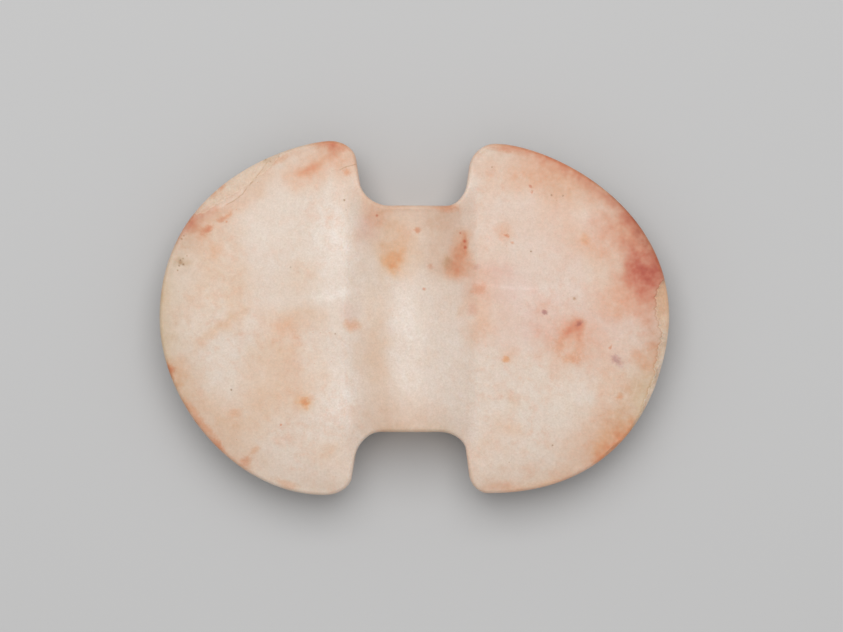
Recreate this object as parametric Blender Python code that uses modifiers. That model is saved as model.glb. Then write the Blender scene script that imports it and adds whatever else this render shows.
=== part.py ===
"""Double-notched butterfly bannerstone of pale, iron-stained quartz, lying level on its back.

The stone is one solid. Its outline is worked out quarter by quarter from the sizes of each horn, and its
thickness is a formula: thin wings with a rounded rim, and a bell-shaped barrel raised between them. The lower
half mirrors the upper one. A bore runs through the barrel from notch to notch, between the flat ends of the
barrel. A narrow strip of its back is ground flat to lie on, and three flakes are missing from the rim.

Frame: metres, +Z up, +X across the wings, +Y along the bore. The origin is under the middle, on the ground.
"""

from dataclasses import dataclass
from math import atan2, cos, pi, radians, sin, sqrt, tan

import bmesh
import bpy
import numpy as np
from mathutils import Matrix, Vector
from mathutils.geometry import delaunay_2d_cdt

# Whole stone
SPAN = 0.165  # from wing tip to wing tip

# Barrel
BARREL_THICKNESS = 0.027  # before its back is ground flat
BARREL_WIDTH = 0.044  # foot to foot of the bell-shaped ridge
BARREL_FULLNESS = 1.25  # power of the ridge's cosine: 1 is a plain arch, 2 a slender bell
BARREL_X = -0.0012  # the ridge runs a little left of the middle
RIDGE_RUN_OUT = 0.016  # distance past the barrel's ends over which its feet fade into the horns
UPPER_END_Y = 0.0362  # flat end of the barrel, the floor of the upper notch
LOWER_END_Y = -0.0367  # flat end of the barrel, the floor of the lower notch
END_ROUND = 0.0045  # how far the rounding at the barrel's ends reaches in
END_FLAT_SHARE = 0.72  # share of the barrel's thickness that its flat end wall keeps
REST_GRIND = 0.001  # taken off the barrel's back, so that the stone lies level

# Bore
BORE_DIAMETER = 0.013
BORE_X = -0.0005
MOUTH_WEAR = 0.0005  # how much the worn mouths widen the bore's radius
MOUTH_DEPTH = 0.0012  # how far that wear reaches in
DRILL_PAST = 0.01  # how far the drill stands out of each mouth

# Wings
WING_THICKNESS = 0.0126  # where the wings meet the barrel
RIM_THICKNESS = 0.0074  # just inside the rounded rim
WING_TAPER = 0.034  # distance from the rim over which the wings thin down
RIM_ROUND = 0.003  # how far the rim's rounding reaches in
RIM_FLAT_SHARE = 0.25  # share of the rim's thickness that its outer wall keeps

# Mesh
FINE_STEP = 0.0014  # between points round the small curves
FLOOR_STEP = 0.003  # between points along the straight notch floors
COARSE_STEP = 0.0027  # between points along the wings' rims
RING_SHARES = (0.12, 0.45, 1.0, 2.0)  # depth of each ring inside the rim, as a share of the rounding
RING_CLEARANCE = 0.97  # share of its depth that a ring's point keeps from every stretch of the rim
BARREL_STEP = 0.0032  # between columns of points on the barrel
WING_STEP = 0.0064  # between columns of points on the wings
ROW_STEP = 0.0052  # between points along each column
CURVE_SAMPLES = 400  # points that a curve's length is measured with
BORE_SIDES = 56
SCOOP_SIDES = 48
ROUND_CORNER = 0.55  # a cubic's handles reach this share of the way to the corner it rounds

STONE = (0.66, 0.55, 0.45, 1.0)
POLISH_ROUGHNESS = 0.45


@dataclass(frozen=True)
class Horn:
    """One quarter of the outline, from the middle of a notch floor to the tip of a wing."""

    side: int  # -1 on the left wing, 1 on the right
    end: int  # 1 beside the upper notch, -1 beside the lower
    wall_foot: float  # from the middle to where the notch wall would meet the floor
    wall_lean: float  # degrees that the wall leans outwards
    floor_round: float  # reach of the rounding along the floor
    wall_round: float  # reach of the same rounding up the wall
    crown_x: float  # highest point of the horn
    crown_y: float
    crown_round: float  # reach of the rounding between wall and crown
    shoulder: float  # reach of the outer curve along the crown's level, as a share
    flank: float  # reach of the outer curve along the wing tip's level, as a share

    def arcs(self):
        """The cubics of this quarter, from the notch floor to the wing tip, with the step for each."""
        floor_y = abs(UPPER_END_Y if self.end > 0 else LOWER_END_Y)
        slope = tan(radians(self.wall_lean))
        up = np.array((slope, 1.0)) / sqrt(1.0 + slope**2)
        foot = np.array((self.wall_foot, floor_y))
        crown = np.array((self.crown_x, self.crown_y))
        brow = np.array((self.wall_foot + slope * (self.crown_y - floor_y), self.crown_y))
        tip = np.array((SPAN / 2, 0.0))
        corner = np.array((SPAN / 2, self.crown_y))
        floor_edge = foot - np.array((self.floor_round, 0.0))
        wall_low = foot + up * self.wall_round
        wall_high = brow - up * self.crown_round
        quarter = (
            (rounded(floor_edge, foot, wall_low), FINE_STEP),
            (rounded(wall_low, (wall_low + wall_high) / 2, wall_high), FINE_STEP),
            (rounded(wall_high, brow, crown), FINE_STEP),
            (rounded(crown, corner, tip, self.shoulder, self.flank), COARSE_STEP),
        )
        return [(arc * (self.side, self.end), step) for arc, step in quarter]


UPPER_LEFT = Horn(
    side=-1,
    end=1,
    wall_foot=0.0166,
    wall_lean=8.6,
    floor_round=0.0086,
    wall_round=0.0080,
    crown_x=0.0271,
    crown_y=0.0573,
    crown_round=0.0058,
    shoulder=0.17,
    flank=0.80,
)
UPPER_RIGHT = Horn(
    side=1,
    end=1,
    wall_foot=0.0159,
    wall_lean=8.2,
    floor_round=0.0058,
    wall_round=0.0073,
    crown_x=0.0261,
    crown_y=0.0564,
    crown_round=0.0074,
    shoulder=0.28,
    flank=0.68,
)
LOWER_LEFT = Horn(
    side=-1,
    end=-1,
    wall_foot=0.0179,
    wall_lean=9.2,
    floor_round=0.0072,
    wall_round=0.0087,
    crown_x=0.0290,
    crown_y=0.0573,
    crown_round=0.0056,
    shoulder=0.55,
    flank=0.47,
)
LOWER_RIGHT = Horn(
    side=1,
    end=-1,
    wall_foot=0.0159,
    wall_lean=7.2,
    floor_round=0.0082,
    wall_round=0.0060,
    crown_x=0.0239,
    crown_y=0.0567,
    crown_round=0.0060,
    shoulder=0.95,
    flank=0.09,
)


@dataclass(frozen=True)
class FlakeScar:
    """A shallow scoop where a flake was struck off the rim's upper edge."""

    horn: Horn
    along: float  # place on the horn's outer curve, from 0 at the crown to 1 at the wing tip
    length: float
    width: float  # from the rim to the scar's inner edge
    hollow: float  # radius of the scoop's hollow


SCARS = {
    "upper_left_scar": FlakeScar(UPPER_LEFT, along=0.50, length=0.033, width=0.0048, hollow=0.009),
    "right_scar": FlakeScar(UPPER_RIGHT, along=0.965, length=0.021, width=0.0040, hollow=0.008),
    "lower_right_scar": FlakeScar(LOWER_RIGHT, along=0.70, length=0.020, width=0.0034, hollow=0.008),
}


def rounded(start, corner, finish, first=ROUND_CORNER, second=ROUND_CORNER):
    """The four control points of a cubic from start to finish that rounds off the corner between them."""
    return np.array((start, start + first * (corner - start), finish + second * (corner - finish), finish))


def on_cubic(arc, share):
    """Points of a cubic at the given shares of its parameter."""
    t = np.asarray(share, dtype=float)[..., None]
    return (1 - t) ** 3 * arc[0] + 3 * (1 - t) ** 2 * t * arc[1] + 3 * (1 - t) * t**2 * arc[2] + t**3 * arc[3]


def evenly(arc, step):
    """Points along a cubic about one step apart, without the last one."""
    fine = on_cubic(arc, np.linspace(0.0, 1.0, CURVE_SAMPLES))
    travelled = np.concatenate(([0.0], np.cumsum(np.hypot(*np.diff(fine, axis=0).T))))
    count = max(2, round(travelled[-1] / step))
    places = np.linspace(0.0, travelled[-1], count + 1)[:-1]
    return np.column_stack([np.interp(places, travelled, fine[:, k]) for k in (0, 1)])


def notch_floor(left, right, end_y):
    """The straight floor of a notch, from the left horn's rounding to the right one's."""
    start = np.array((-(left.wall_foot - left.floor_round), end_y))
    finish = np.array((right.wall_foot - right.floor_round, end_y))
    return rounded(start, (start + finish) / 2, finish)


def outline():
    """The stone's outline seen from above, anticlockwise from the left of the upper notch floor."""

    def back(arcs):
        return [(arc[::-1], step) for arc, step in reversed(arcs)]

    upper = notch_floor(UPPER_LEFT, UPPER_RIGHT, UPPER_END_Y)
    lower = notch_floor(LOWER_LEFT, LOWER_RIGHT, LOWER_END_Y)
    arcs = UPPER_LEFT.arcs() + back(LOWER_LEFT.arcs()) + [(lower, FLOOR_STEP)]
    arcs += LOWER_RIGHT.arcs() + back(UPPER_RIGHT.arcs()) + [(upper[::-1], FLOOR_STEP)]
    return np.concatenate([evenly(arc, step) for arc, step in arcs])


def depth_inside(points, loop):
    """The distance from each point to the nearest stretch of the outline."""
    along = np.roll(loop, -1, axis=0) - loop
    offset = points[:, None, :] - loop[None]
    share = np.clip((offset * along).sum(2) / (along**2).sum(1), 0.0, 1.0)
    return np.linalg.norm(offset - share[..., None] * along, axis=2).min(axis=1)


def is_inside(points, loop):
    """Whether each point lies inside the outline, by counting the edges on its right."""
    x, y = points[:, 0, None], points[:, 1, None]
    start_x, start_y = loop.T
    finish_x, finish_y = np.roll(loop, -1, axis=0).T
    level = finish_y == start_y
    rise = np.where(level, 1.0, finish_y - start_y)
    spans = (start_y > y) != (finish_y > y)
    crosses = spans & (x < (finish_x - start_x) * (y - start_y) / rise + start_x)
    return crosses.sum(axis=1) % 2 == 1


def bell(points):
    """The barrel's ridge: 1 on its crown, falling as a power of a cosine to 0 at its feet.

    Past the barrel's ends it fades along half a cosine wave, so that the horns keep only its last rise.
    """
    x, y = points.T
    across = np.clip(np.abs(x - BARREL_X) / (BARREL_WIDTH / 2), 0.0, 1.0)
    past = np.clip(np.maximum(y - UPPER_END_Y, LOWER_END_Y - y) / RIDGE_RUN_OUT, 0.0, 1.0)
    arch = np.clip(np.cos(pi / 2 * across), 0.0, 1.0)
    return arch**BARREL_FULLNESS * (1.0 + np.cos(pi * past)) / 2


def rounding(points):
    """How far the edge's rounding reaches in, from the rim's value to the barrel end's."""
    return RIM_ROUND + (END_ROUND - RIM_ROUND) * bell(points)


def half_thickness(points, loop):
    """Height of the upper face above the middle plane.

    A wing thins in a smooth curve from the barrel to the rim, the bell lifts the barrel above it, and within
    the rounding both fall along an ellipse to the low wall that the rim keeps.
    """
    ridge = bell(points)
    depth = depth_inside(points, loop)
    rise = np.sin(pi / 2 * np.clip(depth / WING_TAPER, 0.0, 1.0))
    wing = (RIM_THICKNESS + (WING_THICKNESS - RIM_THICKNESS) * rise) / 2
    body = wing + (BARREL_THICKNESS / 2 - wing) * ridge
    kept = RIM_FLAT_SHARE + (END_FLAT_SHARE - RIM_FLAT_SHARE) * ridge
    edge = np.sqrt(1.0 - (1.0 - np.clip(depth / rounding(points), 0.0, 1.0)) ** 2)
    return body * (kept + (1.0 - kept) * edge)


def rings(loop):
    """Points on rings inside the outline, closer together where the rim is round."""
    tangent = np.roll(loop, -1, axis=0) - np.roll(loop, 1, axis=0)
    inward = np.column_stack((-tangent[:, 1], tangent[:, 0])) / np.linalg.norm(tangent, axis=1)[:, None]
    found = []
    for share in RING_SHARES:
        reach = share * rounding(loop)
        ring = loop + inward * reach[:, None]
        clear = is_inside(ring, loop) & (depth_inside(ring, loop) > RING_CLEARANCE * reach)
        found.append(ring[clear])
    return np.concatenate(found)


def lattice(loop):
    """Points in staggered columns over the rest of the stone, closer together across the barrel."""
    foot = BARREL_WIDTH / 2
    across = np.arange(-foot, foot + BARREL_STEP / 2, BARREL_STEP)
    outer = np.arange(foot + WING_STEP, SPAN / 2, WING_STEP)
    columns = BARREL_X + np.concatenate((-outer[::-1], across, outer))
    rows = np.arange(-SPAN / 2, SPAN / 2, ROW_STEP)
    x, y = np.meshgrid(columns, rows, indexing="ij")
    y[::2] += ROW_STEP / 2
    points = np.column_stack((x.ravel(), y.ravel()))
    nearest = RING_SHARES[-1] * rounding(points) + BARREL_STEP / 2
    return points[is_inside(points, loop) & (depth_inside(points, loop) > nearest)]


def upper_half(name):
    """The upper half, open at its middle plane: the plan in triangles, lifted to the half thickness."""
    loop = outline()
    plan = np.concatenate((loop, rings(loop), lattice(loop)))
    count = len(loop)
    edges = [(k, (k + 1) % count) for k in range(count)]
    inside_only = 1
    same_point = 1e-7
    flat, _, faces, *_ = delaunay_2d_cdt([Vector(p) for p in plan], edges, [], inside_only, same_point)
    flat = np.array(flat)
    lifted = np.column_stack((flat, half_thickness(flat, loop)))
    mesh = bpy.data.meshes.new(name)
    mesh.from_pydata(lifted.tolist(), [], faces)
    skirt(mesh)
    return mesh


def skirt(mesh):
    """Carry the open edge of a half straight down to its middle plane."""
    work = bmesh.new()
    work.from_mesh(mesh)
    rim = [edge for edge in work.edges if edge.is_boundary]
    grown = bmesh.ops.extrude_edge_only(work, edges=rim)["geom"]
    for vertex in (item for item in grown if isinstance(item, bmesh.types.BMVert)):
        vertex.co.z = 0.0
    bmesh.ops.recalc_face_normals(work, faces=work.faces)
    bmesh.ops.triangulate(work, faces=work.faces)
    work.to_mesh(mesh)
    work.free()


def finished(name, work):
    """A new object that holds the mesh worked on."""
    mesh = bpy.data.meshes.new(name)
    work.to_mesh(mesh)
    work.free()
    return bpy.data.objects.new(name, mesh)


def grinding_block(name):
    """A block as wide as the stone, up to the ground's level, which grinds the barrel's back flat."""
    work = bmesh.new()
    bmesh.ops.create_cube(work, size=SPAN)
    block = finished(name, work)
    block.location = (0.0, 0.0, -SPAN / 2)
    return block


def bore_drill(name, middle_z):
    """The bore with its worn mouths, as a profile turned about its axis and laid along +Y."""
    radius = BORE_DIAMETER / 2
    flared = radius + MOUTH_WEAR * (1.0 + DRILL_PAST / MOUTH_DEPTH)
    profile = (
        (0.0, UPPER_END_Y + DRILL_PAST),
        (flared, UPPER_END_Y + DRILL_PAST),
        (radius, UPPER_END_Y - MOUTH_DEPTH),
        (radius, LOWER_END_Y + MOUTH_DEPTH),
        (flared, LOWER_END_Y - DRILL_PAST),
        (0.0, LOWER_END_Y - DRILL_PAST),
    )
    work = bmesh.new()
    points = [work.verts.new((out, 0.0, along)) for out, along in profile]
    for start, finish in zip(points, points[1:]):
        work.edges.new((start, finish))
    drill = finished(name, work)
    drill.rotation_euler = (-pi / 2, 0.0, 0.0)
    drill.location = (BORE_X, 0.0, middle_z)
    turn = drill.modifiers.new("turned", "SCREW")
    turn.steps = BORE_SIDES
    turn.render_steps = BORE_SIDES
    turn.use_merge_vertices = True
    turn.merge_threshold = 0.0001
    return drill


def scoop(name, scar, middle_z):
    """An ellipsoid laid along the rim, which takes a flake off its upper edge.

    Across the rim it is a circle through the scar's inner edge on the upper face and the middle of the rim's
    wall. Its long half-axis makes the circle shrink clear of the rim's upper corner at the scar's two ends.
    """
    arc = scar.horn.arcs()[-1][0]
    place = on_cubic(arc, scar.along)
    nearby = 0.01
    ahead = on_cubic(arc, scar.along + nearby) - on_cubic(arc, scar.along - nearby)
    if scar.horn.side != scar.horn.end:
        ahead = -ahead
    heading = atan2(ahead[1], ahead[0])
    outward = np.array((-sin(heading), cos(heading)))
    inner = np.array((-scar.width, RIM_THICKNESS / 2))
    half = np.linalg.norm(inner) / 2
    away = np.array((inner[1], -inner[0])) / np.linalg.norm(inner)
    centre = inner / 2 + away * sqrt(scar.hollow**2 - half**2)
    rim_corner = np.array((-RIM_ROUND, RIM_THICKNESS)) / 3
    reach = np.linalg.norm(centre - rim_corner) / scar.hollow
    long_axis = scar.length / 2 / sqrt(1.0 - reach**2)
    work = bmesh.new()
    bmesh.ops.create_uvsphere(work, u_segments=SCOOP_SIDES, v_segments=SCOOP_SIDES * 2 // 3, radius=1.0)
    spot = (*(place + outward * centre[0]), middle_z + centre[1])
    size = Matrix.Diagonal((long_axis, scar.hollow, scar.hollow, 1.0))
    lying = Matrix.Rotation(pi / 2, 4, "Y")
    work.transform(Matrix.Translation(spot) @ Matrix.Rotation(heading, 4, "Z") @ size @ lying)
    return finished(name, work)


def keep_as_cutter(cutter, collection):
    """Show a cutter as wire only, in the cutters' collection."""
    collection.objects.link(cutter)
    cutter.hide_render = True
    cutter.display_type = "WIRE"


def cut(stone, cutter):
    """Take the cutter's shape off the stone."""
    step = stone.modifiers.new(cutter.name, "BOOLEAN")
    step.operation = "DIFFERENCE"
    step.solver = "EXACT"
    step.object = cutter


def quartz():
    """Pale cream quartz with a dull polish."""
    material = bpy.data.materials.new("iron-stained quartz")
    material.use_nodes = True
    shader = material.node_tree.nodes["Principled BSDF"]
    shader.inputs["Base Color"].default_value = STONE
    shader.inputs["Roughness"].default_value = POLISH_ROUGHNESS
    shader.inputs["Metallic"].default_value = 0.0
    return material


def new_collection(name):
    """A collection of the scene."""
    collection = bpy.data.collections.new(name)
    bpy.context.scene.collection.children.link(collection)
    return collection


def main():
    """Build the stone and cut it with its tools."""
    for item in list(bpy.data.objects):
        bpy.data.objects.remove(item)
    parts = new_collection("bannerstone")
    cutters = new_collection("cutters")
    middle_z = BARREL_THICKNESS / 2 - REST_GRIND

    stone = bpy.data.objects.new("bannerstone", upper_half("bannerstone"))
    stone.location = (0.0, 0.0, middle_z)
    stone.data.materials.append(quartz())
    parts.objects.link(stone)
    mirror = stone.modifiers.new("lower half", "MIRROR")
    mirror.use_axis = (False, False, True)
    mirror.merge_threshold = 0.00005

    tools = [grinding_block("rest_grind"), bore_drill("bore", middle_z)]
    tools += [scoop(name, scar, middle_z) for name, scar in SCARS.items()]
    for tool in tools:
        keep_as_cutter(tool, cutters)
        cut(stone, tool)
    stone.data.shade_smooth()
    stone.data.set_sharp_from_angle(angle=radians(40))


main()
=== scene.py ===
"""Looks of the double-notched butterfly bannerstone: a fine quartz skin over its solid, in a plain studio.

The skin repeats the solid's outline and thickness from the same sizes, on a grid of spokes that run from
the rim to the middle of the stone, and adds what the solid leaves out: the unevenness of a surface ground
by hand, the broken edges of the flake scars and the rings that the drill left in the bore. Its finish lays
the stone's iron stains over cloudy quartz, each at its own place, and paints some light and shade into the
colour: painted shade at the rims and on the barrel, painted light on its flanks and on the lower edges.

Frame: metres, +Z up, +X across the wings, +Y along the bore. The origin is under the middle, on the ground.
"""

import logging
from dataclasses import dataclass, field
from enum import Enum
from math import atan2, cos, pi, radians, sin, sqrt, tan
from typing import Union

import bmesh
import bpy
import numpy as np
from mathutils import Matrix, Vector


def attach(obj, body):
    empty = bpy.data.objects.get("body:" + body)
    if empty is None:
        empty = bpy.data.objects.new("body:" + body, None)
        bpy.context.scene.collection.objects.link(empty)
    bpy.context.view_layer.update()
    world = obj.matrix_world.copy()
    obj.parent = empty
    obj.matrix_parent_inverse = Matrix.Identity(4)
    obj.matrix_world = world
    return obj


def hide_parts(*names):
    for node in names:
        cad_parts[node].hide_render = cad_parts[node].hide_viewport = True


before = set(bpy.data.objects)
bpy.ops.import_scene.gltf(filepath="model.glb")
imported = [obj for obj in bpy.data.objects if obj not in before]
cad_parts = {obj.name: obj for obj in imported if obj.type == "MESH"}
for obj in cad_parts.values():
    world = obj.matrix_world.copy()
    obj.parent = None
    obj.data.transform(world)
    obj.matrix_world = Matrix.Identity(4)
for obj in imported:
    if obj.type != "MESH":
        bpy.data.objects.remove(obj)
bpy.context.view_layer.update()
NODE = "bannerstone"
BODY = "root"
MILLIMETRE = 0.001
PAINTED_WIDTH = 4.2  # in millimetres: narrower stains are drawn by the finish
STRAIGHT_DOWN = 1000.0  # in millimetres: over so much height a mark stays the same

Array = np.ndarray
Colour = tuple[float, float, float]
Point = tuple[float, float, float]
Value = Union["Wire", float, int]
Tint = Union["Wire", Colour]
Noise = tuple[float, ...]  # size of its features in millimetres, detail, roughness, and how wide it swings
Span = tuple[float, ...]  # where a smooth step begins and ends, and the values that it goes from and to
Stray = tuple[float, float]  # size of the features that move a place about, and how far, in millimetres


@dataclass(frozen=True)
class StoneSizes:
    """Sizes of the stone in metres, its solid's own but for the edges, which are worn less round."""

    span: float = 0.165
    barrel_thickness: float = 0.027
    barrel_width: float = 0.044
    barrel_fullness: float = 1.15
    foot_softness: float = 0.12
    barrel_x: float = -0.0012
    ridge_run_out: float = 0.016
    upper_end_y: float = 0.0362
    lower_end_y: float = -0.0367
    end_round: float = 0.0013
    end_flat_share: float = 0.90
    rest_grind: float = 0.001
    bore_diameter: float = 0.013
    bore_x: float = -0.0005
    mouth_wear: float = 0.0005
    mouth_depth: float = 0.0012
    wing_thickness: float = 0.0126
    rim_thickness: float = 0.0074
    wing_taper: float = 0.034
    rim_round: float = 0.0011
    rim_flat_share: float = 0.68

    @property
    def middle_z(self) -> float:
        """Height of the stone's middle plane above the ground."""
        return self.barrel_thickness / 2 - self.rest_grind


@dataclass(frozen=True)
class Horn:
    """Sizes of one quarter of the outline, in metres, from the middle of a notch floor to a wing tip."""

    side: int  # -1 on the left wing, 1 on the right
    end: int  # 1 beside the upper notch, -1 beside the lower
    wall_foot: float  # from the middle to where the notch wall would meet the floor
    wall_lean: float  # degrees that the wall leans outwards
    floor_round: float  # reach of the rounding along the floor
    wall_round: float  # reach of the same rounding up the wall
    crown_x: float  # highest point of the horn
    crown_y: float
    crown_round: float  # reach of the rounding between wall and crown
    shoulder: float  # reach of the outer curve along the crown's level, as a share
    flank: float  # reach of the outer curve along the wing tip's level, as a share


HORNS: dict[str, Horn] = {
    "upper left": Horn(-1, 1, 0.0166, 8.6, 0.0086, 0.0080, 0.0271, 0.0573, 0.0058, 0.17, 0.80),
    "upper right": Horn(1, 1, 0.0159, 8.2, 0.0058, 0.0073, 0.0261, 0.0564, 0.0074, 0.28, 0.68),
    "lower left": Horn(-1, -1, 0.0179, 9.2, 0.0072, 0.0087, 0.0290, 0.0573, 0.0056, 0.55, 0.47),
    "lower right": Horn(1, -1, 0.0159, 7.2, 0.0082, 0.0060, 0.0239, 0.0567, 0.0060, 0.95, 0.09),
}


@dataclass(frozen=True)
class Bite:
    """One scallop of a broken edge."""

    heading: float  # degrees round the stone from +X to its middle
    reach: float  # half its length along the rim
    width: float  # from the rim to its inner edge


@dataclass(frozen=True)
class FlakeScar:
    """Where flakes were struck off the rim's upper edge: its scallops, and how deep it cuts."""

    bites: tuple[Bite, ...]
    step: float  # share of the half thickness lost at the inner edge
    fall: float  # share lost at the rim
    ragged: float  # how far the inner edge strays


SCARS: tuple[FlakeScar, ...] = (
    FlakeScar((Bite(141.5, 0.0155, 0.0047), Bite(147.5, 0.0100, 0.0036)), 0.035, 0.42, 0.00022),
    FlakeScar((Bite(2.2, 0.0092, 0.0043), Bite(-8.0, 0.0098, 0.0025)), 0.085, 0.45, 0.00034),
    FlakeScar((Bite(-16.5, 0.0090, 0.0016),), 0.06, 0.30, 0.00020),
    FlakeScar((Bite(-33.5, 0.0040, 0.0011), Bite(-24.5, 0.0035, 0.0008)), 0.06, 0.25, 0.00020),
)


def rounded(
    start: Array, corner: Array, finish: Array, first: float = 0.55, second: float = 0.55
) -> Array:
    """Round off a corner with a cubic.

    Args:
        start: The cubic's first point.
        corner: The corner that its handles reach towards.
        finish: Its last point.
        first: Share of the way to the corner that the first handle reaches.
        second: The same for the second handle.

    Returns:
        The cubic's four control points.
    """
    leaving, arriving = start + first * (corner - start), finish + second * (corner - finish)
    return np.array((start, leaving, arriving, finish))


def on_cubic(arc: Array, share: Array) -> Array:
    """Points of a cubic, (1-t)^3 a + 3 (1-t)^2 t b + 3 (1-t) t^2 c + t^3 d.

    Args:
        arc: Control points along the first axis.
        share: Values of t.

    Returns:
        The points, with the shares' axes before the coordinate's.
    """
    t = np.asarray(share, dtype=float)[..., None]
    early = (1 - t) ** 3 * arc[0] + 3 * (1 - t) ** 2 * t * arc[1]
    return early + 3 * (1 - t) * t**2 * arc[2] + t**3 * arc[3]


def at(places: Array, travelled: Array, line: Array) -> Array:
    """Points of a line at given distances along it, from the distances of the points that it has."""
    return np.column_stack([np.interp(places, travelled, line[:, k]) for k in (0, 1)])


def lengths_along(line: Array) -> Array:
    """Distance from a line's start to each of its points, measured along it."""
    return np.concatenate(([0.0], np.cumsum(np.linalg.norm(np.diff(line, axis=0), axis=1))))


def smooth(low: float, high: float, value: Array) -> Array:
    """A smooth step, 3 t^2 - 2 t^3, as the value goes from low to high."""
    t = np.clip((value - low) / (high - low), 0.0, 1.0)
    return t * t * (3.0 - 2.0 * t)


def wrapped(degrees: Array) -> Array:
    """Angles brought between -180 and 180 degrees."""
    return (degrees + 180.0) % 360.0 - 180.0


def waves(points: Array, lengths: tuple[float, float], count: int, seed: int, fall: float = 0.5) -> Array:
    """A smooth random field: plane waves in all directions, the long ones the highest.

    Args:
        points: Where it is wanted, as (..., 2).
        lengths: Length of the shortest waves and of the longest.
        count: How many waves there are.
        seed: Chooses them.
        fall: Power of its length that a wave's height follows.

    Returns:
        Its values, mostly between -1 and 1.
    """
    shortest, longest = lengths
    draw = np.random.default_rng(seed)
    total = np.zeros(points.shape[:-1])
    for _ in range(count):
        heading, phase = draw.uniform(0.0, 2 * pi, 2)
        length = shortest * (longest / shortest) ** draw.uniform()
        along = points @ np.array((cos(heading), sin(heading)))
        total += (length / longest) ** fall * np.sin(2 * pi * along / length + phase)
    return total * sqrt(2.0 / count)


def belts(index: Array) -> Array:
    """The quads between the rows of a grid that closes on itself, from the numbers of its points."""
    after = np.roll(index, -1, axis=1)
    return np.stack((index[:-1], index[1:], after[1:], after[:-1]), axis=-1).reshape(-1, 4)


def in_scene(name: str, data: bpy.types.ID) -> bpy.types.Object:
    """Put a new object in the scene.

    Args:
        name: Its name.
        data: Its mesh, light or camera.

    Returns:
        The object.
    """
    made = bpy.data.objects.new(name, data)
    bpy.context.scene.collection.objects.link(made)
    return made


@dataclass
class Outline:
    """The stone's edge seen from above, worked out from its four horns."""

    sizes: StoneSizes
    horns: dict[str, Horn] = field(default_factory=lambda: HORNS)
    fineness: int = 320  # points on each cubic

    def arcs(self, horn: Horn) -> list[Array]:
        """The cubics of one horn: notch corner, notch wall, horn corner and outer curve.

        Args:
            horn: The horn's sizes.

        Returns:
            The control points of each cubic, from the notch floor to the wing tip.
        """
        floor_y = abs(self.sizes.upper_end_y if horn.end > 0 else self.sizes.lower_end_y)
        slope = tan(radians(horn.wall_lean))
        up = np.array((slope, 1.0)) / sqrt(1.0 + slope**2)
        foot = np.array((horn.wall_foot, floor_y))
        crown = np.array((horn.crown_x, horn.crown_y))
        brow = np.array((horn.wall_foot + slope * (horn.crown_y - floor_y), horn.crown_y))
        tip = np.array((self.sizes.span / 2, 0.0))
        corner = np.array((self.sizes.span / 2, horn.crown_y))
        floor_edge = foot - np.array((horn.floor_round, 0.0))
        wall_low = foot + up * horn.wall_round
        wall_high = brow - up * horn.crown_round
        quarter = (
            rounded(floor_edge, foot, wall_low),
            rounded(wall_low, (wall_low + wall_high) / 2, wall_high),
            rounded(wall_high, brow, crown),
            rounded(crown, corner, tip, horn.shoulder, horn.flank),
        )
        return [arc * (horn.side, horn.end) for arc in quarter]

    def evenly(self, line: Array, step: float) -> Array:
        """Points along a line, about one step apart."""
        travelled = lengths_along(line)
        return at(np.linspace(0.0, travelled[-1], round(travelled[-1] / step) + 1), travelled, line)

    def line(self, arcs: list[Array]) -> Array:
        """Fine points along cubics that follow each other, each shared point once.

        Args:
            arcs: Their control points, the first cubic's first.

        Returns:
            The points, one per row.
        """
        shares = np.linspace(0.0, 1.0, self.fineness)
        parts = [on_cubic(arcs[0], shares)] + [on_cubic(arc, shares)[1:] for arc in arcs[1:]]
        return np.concatenate(parts)

    def notch(self, end: str) -> Array:
        """Fine points of a notch, from its left horn's crown to its right horn's.

        Args:
            end: "upper" or "lower".

        Returns:
            The points, one per row.
        """
        left = self.arcs(self.horns[f"{end} left"])[:3]
        right = self.arcs(self.horns[f"{end} right"])[:3]
        start, finish = left[0][0], right[0][0]
        floor = rounded(start, (start + finish) / 2, finish)
        return self.line([arc[::-1] for arc in reversed(left)] + [floor] + right)

    def wing(self, end: str, side: str) -> Array:
        """Fine points of a horn's outer curve, from its crown to the wing tip."""
        return self.line(self.arcs(self.horns[f"{end} {side}"])[3:])

    def half(self, end: str) -> Array:
        """Fine points of the outline's upper or lower half, from the left wing tip to the right one."""
        left, right = self.wing(end, "left"), self.wing(end, "right")
        return np.concatenate((left[::-1], self.notch(end)[1:-1], right))


@dataclass
class Plan:
    """The stone seen from above: rows of points from the rim inwards, one column for each spoke."""

    points: Array  # (rows, spokes, 2)
    depth: Array  # distance inside the rim
    soft_depth: Array  # the same, without a crease where the rim is near on two sides
    from_wing: Array  # distance inside the wings' curves, the notches left out
    along: Array  # how far round the rim each spoke starts
    around: float  # the rim's whole length
    headings: Array  # direction of each spoke's start from the middle of the stone, in degrees


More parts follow.
